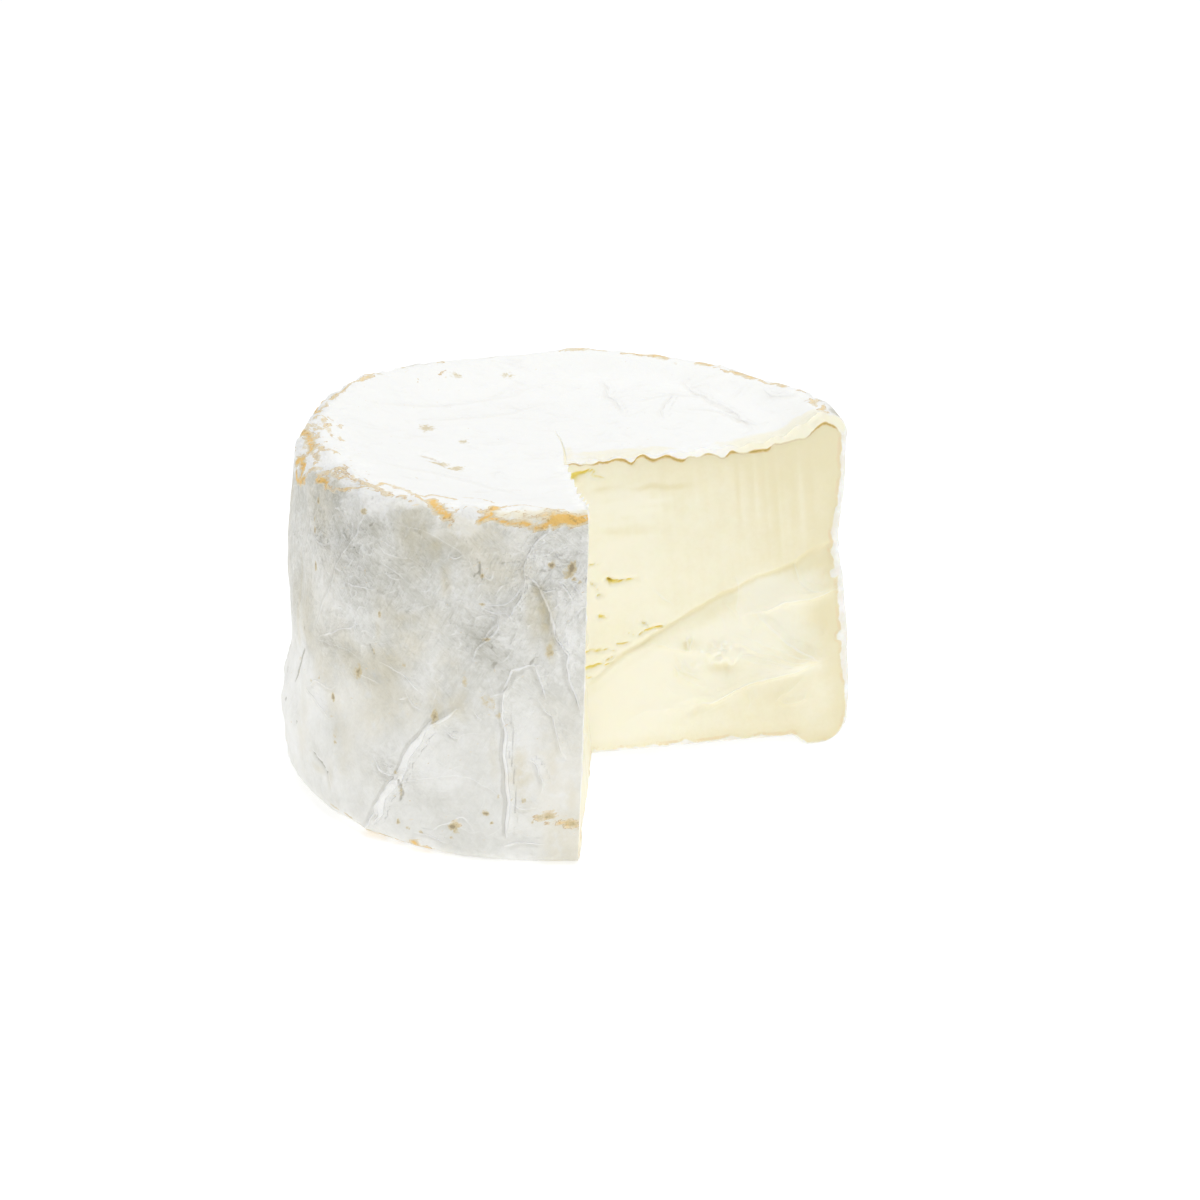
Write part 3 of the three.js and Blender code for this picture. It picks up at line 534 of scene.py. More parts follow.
def wander(across, up, seed):
    """The sheet's coordinates, shifted a little so that lines drawn on them wander."""
    points = flat_points(across, up)

    def shift(first_seed):
        return layered(points, [(FOLD_WANDER, FOLD_WANDER_SIZE, first_seed),
                                (FINE_WANDER, FINE_WANDER_SIZE, first_seed + 1)])

    return across + shift(seed), up + shift(seed + 2)


def add_creases(relief, across, up, folds, taper=0.25):
    """Adds soft creases to a relief."""
    for rise, width, chain in folds:
        reach = reach_to_chain(across, up, smooth_chain(chain), 3.2 * width)
        ends = smooth_step(0, taper, reach.place) * smooth_step(0, taper, 1 - reach.place)
        relief[reach.near] += rise * hump(reach.distance, width) * mix(END_SHARE, 1, ends)


def add_pits(relief, pits, across, up, holes):
    """Sinks narrow cracks into a relief, and marks where they are."""
    for rise, width, chain in holes:
        reach = reach_to_chain(across, up, chain, 3 * width)
        shape = hump(reach.distance, width)
        relief[reach.near] += rise * shape
        pits[reach.near] = np.maximum(pits[reach.near], shape)


def add_fold(relief, across, up, chain, rise, width, reach_in_widths=2.6):
    reach = reach_to_chain(across, up, chain, reach_in_widths * width)
    relief[reach.near] += rise * hump(reach.distance, width)


def add_side_folds(relief, lines, sheet, wavy_sheet):
    """Adds the large folds: hollows, and crests that wander over a wide straight skirt."""
    for rise, width, places in SIDE_FOLDS:
        chain = unrolled(places)
        if rise < 0:
            add_fold(relief, *sheet, chain, rise, width)
            continue
        crest = smooth_chain(chain)
        add_fold(relief, *sheet, chain, SKIRT_SHARE * rise, width)
        add_fold(relief, *wavy_sheet, crest, CREST_SHARE * rise, CREST_NARROWING * width, 3.5)
        if rise >= LEAST_CREST:
            lines.draw(*wavy_sheet, CREST_LINE * rise, crest, 0.08)
    for strength, places in WIDE_CRESTS:
        lines.draw(*wavy_sheet, strength, smooth_chain(unrolled(places)), 0.12)


def hairline_share(_, height):
    return mix(0.35, 1, smooth_step(*HAIRLINES_FAINT, height))


def fleck_share(across, height):
    azimuth = across / around_side(1)
    flecked = sum(hump(turn(centre, azimuth), spread) for centre, spread in FLECKED_SPOTS)
    return mix(0.45, 1, min(1, flecked)) * smooth_step(FLECKS_FROM, FLECKS_FULL, height)


def side_relief(points, azimuth):
    """How far the skin of the side stands out, where it is pitted and rough, and its thin lines."""
    up = points[:, 2]
    sheet = around_side(azimuth), up
    wavy_sheet = wander(*sheet, 61)
    relief = layered(points, RIND_LUMPS) + layered(points, RIND_GRAIN)
    pits = np.zeros(len(points))
    rough = np.zeros(len(points))
    lines = Lines(len(points))
    for centre, spread, height, reach, strength in ROUGH_SPOTS:
        patch = strength * hump(turn(centre, azimuth), spread) * hump(up - height, reach)
        rough = np.maximum(rough, patch)
    relief += rough * layered(points, ROUGH_GRAIN)
    add_side_folds(relief, lines, sheet, wavy_sheet)
    fine = [(rise, width, unrolled(places)) for rise, width, places in FINE_FOLDS]
    for rise, _, chain in fine:
        lines.draw(*wavy_sheet, FINE_LINE * abs(rise), smooth_chain(chain))
    low, high = unrolled(zip(WRINKLED_AZIMUTHS, WRINKLED_HEIGHTS))
    add_creases(relief, *wavy_sheet, fine + random_chains(SIDE_WRINKLES, low, high))
    lines.scatter(wavy_sheet, random_chains(SIDE_HAIRLINES, low, high), hairline_share)
    lines.scatter(wavy_sheet, random_chains(SIDE_FLECKS, [low[0], FLECKS_FROM], high), fleck_share)
    holes = [(-PIT_DEPTH, PIT_WIDTH, unrolled(places)) for places in SIDE_PITS]
    add_pits(relief, pits, *wavy_sheet, holes + random_chains(RANDOM_PITS, low, high))
    return relief, pits, rough, lines


# ---- Folds of the top, as x and y ----
TOP_CREASES = [
    (-0.35, 1.6, [[23.6, 41.3], [28.3, 31.2], [33.6, 20.7], [36.8, 10.5]]),
    (0.35, 1.7, [[7.2, 43.4], [11.4, 20.1]]),
    (0.3, 1.6, [[22.0, 34.1], [19.6, 17.3]]),
    (-0.4, 1.5, [[-29.2, -9.4], [-22.0, -15.8]]),
    (0.35, 2.2, [[-34, 30], [-20, 38], [-8, 36]]),
]
TOP_FINE_FOLDS = [
    (0.28, 0.6, [[24.6, 41.5], [29.4, 31.4], [34.7, 20.9], [37.9, 10.7]]),
    (0.26, 0.6, [[7.2, 43.4], [9.0, 31.0], [11.4, 20.1]]),
    (0.24, 0.6, [[22.0, 34.1], [20.2, 26.0], [19.6, 17.3]]),
    (0.24, 0.6, [[25.5, 24.5], [31.0, 22.8], [36.5, 16.2], [39.2, 11.0]]),
    (0.2, 0.7, [[14.0, 30.0], [21.0, 33.5], [30.0, 32.5]]),
    (0.22, 0.6, [[41.0, 30.0], [44.5, 24.0], [50.0, 20.5]]),
    (0.2, 0.7, [[-5.0, 30.0], [-16.0, 20.0], [-30.0, 16.0]]),
    (0.18, 0.7, [[-40.0, 20.0], [-24.0, 27.0], [-6.0, 40.0]]),
    (0.2, 0.7, [[-38.0, -20.0], [-22.0, -24.0], [-8.0, -36.0]]),
]
# The crack of the top: rise, width, places.
TOP_PITS = [(-0.25, 0.55, smooth_chain([[-29.4, -9.0], [-26.6, -11.0], [-24.0, -14.4], [-20.6, -16.6]]))]


def top_relief(points):
    """The same for the top, which has no rough stretches."""
    sheet = points[:, 0], points[:, 1]
    wavy_sheet = wander(*sheet, 71)
    relief = layered(points, TOP_LUMPS) + layered(points, TOP_GRAIN)
    pits = np.zeros(len(points))
    lines = Lines(len(points))
    for rise, width, chain in TOP_CREASES:
        add_fold(relief, *sheet, chain, rise, width)
    low = [-WHEEL_RADIUS, -WHEEL_RADIUS]
    high = [WHEEL_RADIUS, WHEEL_RADIUS]
    add_creases(relief, *wavy_sheet, TOP_FINE_FOLDS + random_chains(TOP_WRINKLES, low, high))
    for rise, _, chain in TOP_FINE_FOLDS:
        lines.draw(*wavy_sheet, FINE_LINE * rise, smooth_chain(chain))
    lines.scatter(wavy_sheet, random_chains(TOP_HAIRLINES, low, high))
    add_pits(relief, pits, *wavy_sheet, TOP_PITS)
    return relief, pits, lines


# ---- The knife slit past the inner corner ----
def slit_place(x, y):
    """Distance along the slit and to the right of its bent middle."""
    ahead_x = math.cos(SLIT_ANGLE * DEGREE)
    ahead_y = math.sin(SLIT_ANGLE * DEGREE)
    along = (x - INNER_TOP.x) * ahead_x + (y - INNER_TOP.y) * ahead_y
    aside = (x - INNER_TOP.x) * ahead_y - (y - INNER_TOP.y) * ahead_x
    return along, aside - slit_bow(along)


def slit_share(along):
    return np.clip(along / SLIT_LENGTH, 0, 1)


def slit_bow(along):
    share = slit_share(along)
    return SLIT_BOW * 4 * share * (1 - share)


def slit_half_width(along):
    return np.maximum(SLIT_LEAST_HALF, SLIT_WIDTH / 2 * (1 - slit_share(along)))


def slit_opening(x, y):
    """1 in the middle of the slit, 0 outside it."""
    along, aside = slit_place(x, y)
    length = (1 - smooth_step(0.8, 1, along / SLIT_LENGTH)) * smooth_step(-2, -0.5, along)
    return length * (1 - smooth_step(0.3, 1.0, np.abs(aside) / slit_half_width(along)))


def slit_depth(x, y):
    along, _ = slit_place(x, y)
    shallower = (1 - 0.75 * slit_share(along)) * mix(0.25, 1, smooth_step(0, 5, along))
    return SLIT_DEPTH * shallower * slit_opening(x, y)


# ---- Relief of the cut faces, as distance along the cut and height ----
KNIFE_STEP = [
    [0, 18.9], [6.9, 23.7], [14.6, 27.9], [22.3, 31.7], [30, 35.1], [36.8, 37.9], [44, 39.7],
    [47.6, 41.0], [51.7, 43.5], [57, 44.6],
]
KNIFE_STEP_DEPTH = 0.9     # how far the face is sunk below this line
KNIFE_CHATTER = 0.25       # of the near face, which has no such step
DRAG_HEIGHT = 0.05         # of the fine upright lines that the blade drew

# Folds of soft paste that the blade dragged: rise, width above the crest, width below it, places.
SMEARS = [
    (1.1, 2.4, 0.7, [[37.9, 30.8], [43.0, 31.8], [48.9, 32.9], [56.5, 33.1]]),
    (0.9, 1.0, 2.6, [[37.7, 30.7], [39.0, 28.2], [43.6, 23.3], [50.3, 18.3]]),
    (1.3, 2.6, 0.7, [[50.5, 18.0], [44.0, 17.1], [35.9, 15.6], [30.8, 14.2], [24.5, 12.2], [21.6, 12.1]]),
    (0.7, 0.8, 1.6, [[47.8, 40.6], [48.1, 37.8], [49.3, 35.6], [51.1, 34.3], [54.0, 33.8]]),
    (0.6, 1.0, 0.7, [[15.7, 26.5], [18.5, 25.6], [21.7, 24.2], [24.2, 24.0]]),
    (0.9, 0.6, 0.5, [[22.5, 23.9], [23.0, 25.7], [23.6, 26.9]]),
    (0.5, 0.8, 0.6, [[20.0, 23.1], [21.0, 20.0], [22.9, 18.1], [25.3, 17.2]]),
    (0.4, 0.8, 0.6, [[19.2, 21.3], [20.2, 18.8], [22.7, 16.4], [26.8, 15.5]]),
    (0.3, 1.4, 1.0, [[16.3, 18.4], [17.7, 15.7], [20.0, 13.7]]),
    (0.5, 1.2, 0.8, [[49.9, 18.5], [45.5, 20.3], [40.2, 23.0], [36.2, 25.1], [32.6, 26.6]]),
    (0.55, 1.2, 0.7, [[49.9, 18.5], [44.2, 19.6], [38.1, 22.0], [34.1, 24.1], [31.2, 24.8]]),
    (0.35, 1.0, 0.7, [[49.5, 18.2], [42.0, 18.8], [36.3, 20.0], [33.0, 20.8]]),
    (0.35, 1.4, 1.0, [[9.4, 9.8], [13.3, 11.5], [17.4, 11.9], [20.7, 11.1]]),
    (0.3, 1.0, 0.8, [[40.5, 10.2], [43.6, 12.4], [47.2, 15.0]]),
    (0.3, 0.8, 0.6, [[41.8, 10.4], [44.3, 9.5], [46.4, 9.9], [47.3, 11.5]]),
    (0.3, 1.0, 1.0, [[34.5, 13.4], [34.8, 11.2], [34.4, 9.1]]),
    (0.4, 1.6, 1.2, [[34.5, 38.5], [35.0, 35.8], [33.9, 32.1], [34.4, 28.7]]),
    (-0.8, 1.2, 1.2, [[26.4, 21.1], [28.8, 19.6], [31.6, 18.6]]),
    (-0.5, 1.0, 1.0, [[20.9, 8.9], [22.7, 11.1], [25.7, 11.6]]),
    (-0.5, 2.5, 2.5, [[45.5, 27.5], [53.0, 26.0]]),
    (-0.35, 2.2, 2.2, [[51.8, 39.5], [54.0, 38.0]]),
]
CRACK_WANDER = 0.35        # how far cracks wander off their straight way
CRACK_WANDER_SIZE = 1.7
CRACK_TAPER = 0.65         # share of its width and depth that a crack loses towards its end
CRACK_LIP = 0.12           # how high its lips rise, for each millimetre of depth
SMEAR_LINE = 0.75          # strength of the thin line on a smear's crest, for each millimetre of rise
# Faint hairs of paste: strength, places.
FAR_HAIRLINES = [
    (0.5, [[15.8, 37.0], [17.8, 35.9], [20.0, 34.0]]),
    (0.4, [[17.3, 36.0], [19.3, 34.7]]),
    (0.3, [[31.9, 33.2], [33.7, 30.0], [33.1, 28.0]]),
    (0.35, [[38.2, 28.7], [36.8, 26.8], [36.2, 25.1]]),
    (0.3, [[29.5, 31.5], [31.0, 30.0], [31.2, 27.5]]),
    (0.3, [[27.5, 30.0], [29.2, 28.6], [29.6, 26.2]]),
    (0.3, [[47.5, 19.6], [43.0, 21.2], [38.8, 23.6]]),
    (0.3, [[48.5, 19.9], [45.0, 22.0], [42.0, 24.4]]),
    (0.3, [[46.0, 18.3], [40.5, 19.6], [36.0, 21.4]]),
    (0.25, [[24.5, 9.5], [28.0, 11.2], [31.5, 12.0]]),
    (0.8, [[27.6, 23.9], [28.6, 24.3], [29.4, 23.6]]),
    (0.8, [[29.2, 22.9], [30.4, 23.1], [31.4, 22.4]]),
    (0.9, [[28.0, 21.6], [29.2, 21.9], [30.0, 21.1]]),
    (0.8, [[26.2, 23.0], [27.0, 23.4], [27.6, 22.8]]),
    (0.9, [[22.2, 24.2], [22.5, 25.8], [22.1, 27.3]]),
    (0.6, [[18.6, 21.6], [19.8, 20.2], [21.2, 19.4]]),
    (0.6, [[20.6, 20.9], [22.4, 18.9], [24.6, 18.2]]),
    (0.5, [[33.0, 20.3], [35.2, 21.4], [37.5, 21.6]]),
]
# Crumbs of paste on the far face: along, height, size, rise.
FAR_CRUMBS = [
    (28.6, 23.1, 1.1, 0.9), (30.4, 21.9, 1.1, 1.0), (29.0, 20.9, 0.9, 0.7), (27.2, 22.4, 0.7, 0.5),
    (28.1, 24.6, 0.7, 0.5), (30.6, 24.9, 0.6, 0.5), (31.7, 20.4, 0.6, 0.5), (22.3, 26.8, 0.6, 0.5),
    (31.6, 23.6, 0.6, 0.7), (25.4, 23.4, 0.6, 0.6), (24.0, 20.6, 0.7, 0.5), (32.5, 21.6, 0.9, 0.7),
    (29.4, 24.2, 0.6, 0.7), (31.9, 20.6, 0.5, 0.5), (27.8, 20.4, 0.5, 0.4), (33.6, 22.4, 0.4, 0.4),
]
# Short cracks of the paste: depth, width, places.
FAR_CRACKS = [
    (1.3, 0.62, [[6.8, 40.9], [7.5, 40.5], [9.2, 40.5], [12.8, 40.6]]),
    (0.8, 0.4, [[7.3, 40.6], [7.1, 41.1], [6.7, 41.7]]),
    (0.7, 0.35, [[7.3, 40.5], [7.1, 40.0], [6.7, 39.6]]),
    (1.2, 0.8, [[1.6, 63.9], [3.2, 64.6], [6.2, 64.5]]),
    (0.5, 0.6, [[5.5, 63.5], [8.3, 63.0]]),
    (0.8, 0.42, [[4.7, 37.8], [5.9, 37.8]]),
    (0.9, 0.42, [[4.3, 33.1], [6.1, 32.9]]),
    (0.9, 0.42, [[17.4, 29.8], [15.6, 29.8], [13.9, 29.0], [12.2, 28.3], [10.2, 28.7]]),
    (0.7, 0.36, [[13.3, 30.9], [14.6, 30.2]]),
    (0.8, 0.38, [[0.6, 25.5], [3.5, 26.1], [6.7, 25.4]]),
    (0.7, 0.36, [[5.3, 23.8], [7.2, 24.0]]),
    (1.0, 0.5, [[0.2, 22.3], [1.9, 22.2], [3.2, 22.6], [5.6, 22.5]]),
    (0.7, 0.36, [[7.6, 26.9], [10.1, 27.0]]),
    (0.8, 0.4, [[0.2, 20.6], [2.5, 19.7]]),
    (0.6, 0.36, [[3.1, 44.5], [5.1, 44.5]]),
    (0.6, 0.36, [[3.1, 40.4], [4.6, 39.0]]),
]
NEAR_CRACKS = [
    (0.9, 0.6, [[9.0, 50.5], [12.5, 51.2], [15.0, 50.6]]),
    (1.1, 0.7, [[30.0, 27.0], [32.6, 27.8], [35.4, 27.2]]),
    (0.5, 0.45, [[17.0, 39.0], [20.5, 38.4], [22.5, 38.9]]),
    (0.5, 0.45, [[38.0, 58.0], [41.0, 57.4], [44.0, 58.2]]),
    (0.5, 0.45, [[12.0, 21.0], [16.0, 20.2], [19.5, 21.0]]),
    (0.4, 0.4, [[25.0, 14.0], [28.5, 13.2], [31.0, 13.8]]),
]
NEAR_SMEARS = [
    (0.7, 2.4, 1.0, [[8.0, 30.0], [20.0, 34.0], [33.0, 41.0], [46.0, 45.0]]),
    (0.6, 2.0, 0.9, [[14.0, 12.0], [26.0, 18.0], [40.0, 20.0]]),
    (0.5, 1.0, 1.8, [[30.0, 61.0], [38.0, 52.0], [47.0, 49.0]]),
]
FAR_FACE_LUMPS = [(0.18, 9, 31), (0.05, 3.2, 34)]
NEAR_FACE_LUMPS = [(0.35, 11, 33), (0.07, 3.4, 35)]
CRUMB_GRAIN = [(0.14, 2.3, 36), (0.1, 1.2, 37)]
# Where the paste has torn and turned crumbly: along, height, spread, strength.
CRUMBLY_SPOTS = [
    (29.5, 22.0, 3.2, 1.0), (21.5, 18.5, 4.0, 0.8), (7.0, 28.0, 7.0, 0.4), (24.0, 25.0, 3.0, 0.5),
]
# Fine upright drag lines: along, spread, height, reach, strength.
DRAG_ZONES = [(44, 15, 54, 13, 1.0), (14, 16, 56, 6, 0.35), (24, 12, 34, 10, 0.3)]
# Where the paste is deeper or paler than around, partly its own tone and partly painted shade below folds
# and crumbs and painted light on their lit slopes: change, along, height, half width, half height.
FAR_TONES_AND_PAINTED_LIGHT = [
    (0.25, 53.0, 39.0, 4.0, 3.6), (-0.9, 42.0, 36.0, 7.0, 3.2), (-0.35, 35.0, 24.0, 7.0, 4.0),
    (0.85, 52.5, 28.5, 3.6, 4.0), (-0.7, 44.0, 17.3, 6.0, 1.6), (-0.25, 50.0, 12.0, 6.0, 6.0),
    (-0.1, 48.0, 25.0, 7.0, 6.0), (0.8, 30.0, 19.2, 3.5, 1.3), (0.5, 22.5, 25.0, 2.5, 1.5),
    (-0.35, 8.0, 30.0, 14.0, 20.0),
]


def step_height_at(along):
    knots = np.array(KNIFE_STEP)
    return np.interp(along, knots[:, 0], knots[:, 1])


def add_smears(relief, along, z, smears, seed, lines):
    across, up = wander(along, z, seed)
    for rise, above, below, chain in smears:
        places = smooth_chain(chain)
        reach = reach_to_chain(across, up, places, 3 * max(above, below))
        upper = reach.side > 0
        if chain[-1][0] < chain[0][0]:
            upper = ~upper
        ends = mix(0.3, 1, smooth_step(0, 0.2, np.minimum(reach.place, 1 - reach.place)))
        relief[reach.near] += rise * ends * hump(reach.distance, np.where(upper, above, below))
        if rise > 0:
            lines.draw(across, up, SMEAR_LINE * rise, places)


def add_cracks(relief, crack, along, z, cracks, seed):
    points = flat_points(along, z)
    across = along + CRACK_WANDER * lumps(points, CRACK_WANDER_SIZE, seed)
    up = z + CRACK_WANDER * lumps(points, CRACK_WANDER_SIZE, seed + 1)
    for depth, width, chain in cracks:
        reach = reach_to_chain(across, up, chain, 3.5 * width)
        taper = 1 - CRACK_TAPER * reach.place
        shape = hump(reach.distance, width * taper)
        relief[reach.near] -= depth * taper * shape
        crack[reach.near] = np.maximum(crack[reach.near], mix(0.35, 1, min(1, depth)) * shape)
        relief[reach.near] += CRACK_LIP * depth * hump(reach.distance - 1.9 * width, width)


def drag_lines(along, z):
    """Fine upright lines that the blade drew on its way down."""
    strength = np.zeros(len(along))
    for centre, spread, height, reach, share in DRAG_ZONES:
        strength += share * hump(along - centre, spread) * hump(z - height, reach)
    points = flat_points(along, z)
    lines = 0.6 * lumps(points, (1.7, 1, 26), 38) + 0.7 * lumps(points, (0.8, 1, 20), 39)
    return strength * lines


def far_tone_and_painted_light(along, z, below, drag):
    """How deep the far face's colour is, from how far below the knife step and how dragged it is, with
    painted shade in the hollow just under the knife step.
    """
    points = flat_points(along, z)
    # painted shade: the paste is made deeper in a narrow band just under the knife step, where the step's
    # overhang shades it
    shade_under_knife_step = smooth_step(-0.6, 0.3, below) * (1 - smooth_step(0.5, mix(1.2, 2.2, along / 50), below))
    tone = 0.5 * smooth_step(5, 60, along) + 0.55 * smooth_step(52, 70, z) * smooth_step(0, 25, along)
    tone += 0.85 * shade_under_knife_step * within(1, 8, 46, 54, along) + 0.35 * drag
    smudge = 0.6 + 0.9 * lumps(points, (4.5, 1, 0.8), 87)
    streak = hump(z - 61.0 + 0.05 * along + 0.3 * lumps(points, 3, 88), 0.6)
    tone += 0.7 * smudge * streak * within(4, 8, 22, 31, along)
    tone += 0.45 * smudge * hump(z - 51.8 + 0.06 * along, 1.3) * within(2, 6, 14, 22, along)
    paler = hump(z - 56.5, 3.2) * within(0, 4, 16, 24, along)
    tone -= 0.5 * paler * (0.6 + 0.8 * lumps(points, (3, 1, 1), 89))
    tone -= 0.5 * within(3, 6, 14, 26, below) * smooth_step(62, 50, along)
    for change, centre, height, half_width, half_height in FAR_TONES_AND_PAINTED_LIGHT:
        tone += change * oval((along - centre) / half_width, (z - height) / half_height)
    return tone


def far_relief(along, z):
    """Relief of the far face, with where it is cracked, how deep its tone is, and its thin lines."""
    lines = Lines(len(along))
    points = flat_points(along, z)
    below = step_height_at(along + 0.4 * lumps(points, 3.1, 83)) - z + 0.25 * lumps(points, 2.2, 84)
    reach = mix(1.5, 8.0, smooth_step(10, 40, along))
    depth = KNIFE_STEP_DEPTH * mix(0.45, 1, smooth_step(6, 24, along))
    relief = -depth * smooth_step(-0.35, 0.5, below) * (1 - smooth_step(0.6, reach, below))
    relief += layered(points, FAR_FACE_LUMPS)
    crack = np.zeros(len(along))
    add_smears(relief, along, z, SMEARS, 81, lines)
    add_cracks(relief, crack, along, z, FAR_CRACKS, 86)
    across, up = wander(along, z, 81)
    for strength, chain in FAR_HAIRLINES:
        lines.draw(across, up, strength, smooth_chain(chain), 0.4)
    pale = np.zeros(len(along))
    ragged = 1 + 0.3 * lumps(points, 1.3, 85)
    for at, height, size, rise in FAR_CRUMBS:
        crumb = hump(np.hypot(along - at, z - height) * ragged, size)
        relief += rise * crumb
        pale = np.maximum(pale, crumb)
    crumbly = np.zeros(len(along))
    for centre, height, spread, strength in CRUMBLY_SPOTS:
        patch = strength * hump(along - centre, spread) * hump(z - height, 0.7 * spread)
        crumbly = np.maximum(crumbly, patch)
    relief += crumbly * layered(points, CRUMB_GRAIN)
    drag = drag_lines(along, z)
    relief += DRAG_HEIGHT * drag
    # painted shade: the tone is made deeper through the crumbly spots, around the paler crumbs
    tone = far_tone_and_painted_light(along, z, below, drag) + 0.6 * crumbly - 1.6 * pale
    bright = pale * smooth_step(-0.3, 0.5, lumps(points, 0.9, 90))
    return relief, crack, tone, bright, lines


def near_relief(along, z):
    """The same for the near face."""
    lines = Lines(len(along))
    points = flat_points(along, z)
    relief = KNIFE_CHATTER * np.sin(z / 7 + along / 19)
    relief += layered(points, NEAR_FACE_LUMPS)
    crack = np.zeros(len(along))
    add_smears(relief, along, z, NEAR_SMEARS, 91, lines)
    add_cracks(relief, crack, along, z, NEAR_CRACKS, 96)
    drag = lumps(points, (2.6, 1, 26), 48) + 0.5 * lumps(points, (1.3, 1, 18), 49)
    relief += DRAG_HEIGHT * drag
    tone = 0.5 * smooth_step(10, 50, along) * smooth_step(20, 70, z) + 0.25 * drag
    return relief, crack, tone, 0 * tone, lines


# The rind's edge along the top of a cut is dragged into small waves that lean over the cut.
WAVE_LENGTH = 5.3
WAVE_HEIGHT = 0.45
WAVE_LEAN = 0.3
WAVE_FADE = 1.4            # how far from the edge the waves die out
NEAR_WAVE_SHIFT = 3.0      # how far along the near cut's waves are shifted


def edge_phase(along):
    return 2 * math.pi * along / WAVE_LENGTH + 1.4 * np.sin(along / 7)


def edge_wave(along):
    phase = edge_phase(along)
    return WAVE_HEIGHT * np.sin(phase), WAVE_LEAN * (1 + 0.8 * np.sin(phase + 0.8))


# ---- The mesh: rows of points, neighbouring rows stitched together ----
Row = namedtuple("Row", "numbers places")
FACTS = ["x", "y", "z", "out_x", "out_y", "out_z", "azimuth", "rim", "region", "along"]


class Cloud:
    """Points added row by row, each with its facts."""

    def __init__(self):
        self.columns = {name: [] for name in FACTS}
        self.count = 0

    def add(self, places, **facts):
        places = np.atleast_1d(np.asarray(places, float))
        for name in FACTS:
            value = np.broadcast_to(np.asarray(facts.get(name, 0.0), float), places.shape)
            self.columns[name].append(value)
        numbers = np.arange(self.count, self.count + len(places))
        self.count += len(places)
        return Row(numbers, places)

    def gathered(self):
        return {name: np.concatenate(parts) for name, parts in self.columns.items()}


def ring_spacing(azimuth):
    """Spacing along a ring: fine at the front and left, coarser behind."""
    behind = hump(turn(88, azimuth), 78)
    return mix(FRONT_SPACING, BACK_SPACING, np.minimum(1, 1.15 * behind))


def spread_azimuths(start, end, spacing_at):
    """Azimuths from start to end whose distance apart follows the given spacing."""
    fine = np.linspace(start, end, 600)
    step = around_side(fine[1] - fine[0])
    counted = np.concatenate([[0], np.cumsum(step / spacing_at(0.5 * (fine[1:] + fine[:-1])))])
    count = max(4, round(counted[-1]))
    return np.interp(np.linspace(0, counted[-1], count + 1), counted, fine)


# Where the rings of the top have points across the slit, in half widths, and how far these keep
# off the cuts.
SLIT_OFFSETS = np.array([-2.2, -1.5, -1.05, -0.8, -0.5, -0.2, 0.2, 0.5, 0.8, 1.05, 1.5, 2.2])
SLIT_CLEAR_OF_CUTS = 0.3


def slit_azimuths(share):
    """Extra azimuths on a ring of the top, close together across the slit."""
    azimuth = SLIT_ANGLE
    for _ in range(4):
        radius = crest_radius(azimuth)
        reach_x = radius * math.cos(azimuth * DEGREE) - INNER_TOP.x
        reach_y = radius * math.sin(azimuth * DEGREE) - INNER_TOP.y
        azimuth += SLIT_ANGLE - math.atan2(reach_y, reach_x) / DEGREE
    along = share * math.hypot(reach_x, reach_y)
    if along > SLIT_LENGTH + 1:
        return np.array([])
    aside = slit_bow(along) + SLIT_OFFSETS * slit_half_width(along)
    return azimuth - aside / (share * float(radius)) / DEGREE


def closer_at_slit(azimuth, share):
    """A ring's azimuths, with others put in across the slit."""
    extra = slit_azimuths(share)
    if not len(extra):
        return azimuth
    keep = (azimuth < extra.min()) | (azimuth > extra.max())
    keep[[0, -1]] = True
    clear = (extra > azimuth[0] + SLIT_CLEAR_OF_CUTS) & (extra < azimuth[-1] - SLIT_CLEAR_OF_CUTS)
    extra = extra[clear]
    return np.sort(np.concatenate([azimuth[keep], extra]))


def always(value):
    """A function of the azimuth that is the same all round."""
    return lambda azimuth: np.full_like(azimuth, value, float)


def wave_edges(x, y, z, cut_height):
    """Drags the rind's edge over both cuts, in small waves."""
    for cut, side in ((FAR_CUT, 1), (NEAR_CUT, -1)):
        line_x, line_y, along_x, along_y = cut_line(cut, cut_height)
        along = (x - line_x) * along_x + (y - line_y) * along_y
        away = np.abs((x - line_x) * along_y - (y - line_y) * along_x)
        lift, lean = edge_wave(along + (0 if side > 0 else NEAR_WAVE_SHIFT))
        fade = np.where(along > 0, hump(away, WAVE_FADE), 0) * smooth_step(0.5, 2.5, along)
        x = x + side * fade * lean * along_y
        y = y - side * fade * lean * along_x
        z = z + fade * lift
    return x, y, z


def make_sheet_row(cloud, corner, share, cut_height, radius_at, height_at, spacing_at, region):
    """A ring of the top or the underside: a share of the way from the inner corner to a circle."""
    start = cut_azimuth(FAR_CUT, cut_height, radius_at)
    end = cut_azimuth(NEAR_CUT, cut_height, radius_at)
    azimuth = spread_azimuths(start, end, lambda at: spacing_at(at) / share)
    if region == TOP:
        azimuth = closer_at_slit(azimuth, share)
    radius = radius_at(azimuth)
    x = mix(corner.x, radius * np.cos(azimuth * DEGREE), share)
    y = mix(corner.y, radius * np.sin(azimuth * DEGREE), share)
    z = height_at(x, y)
    around = azimuth_of(x, y)
    rim = np.minimum(0, np.hypot(x, y) - crest_radius(around))
    if region == TOP:
        x, y, z = wave_edges(x, y, z, cut_height)
    places = (azimuth - start) / (end - start)
    return cloud.add(places, x=x, y=y, z=z, out_z=1.0, azimuth=around, rim=rim, region=region)


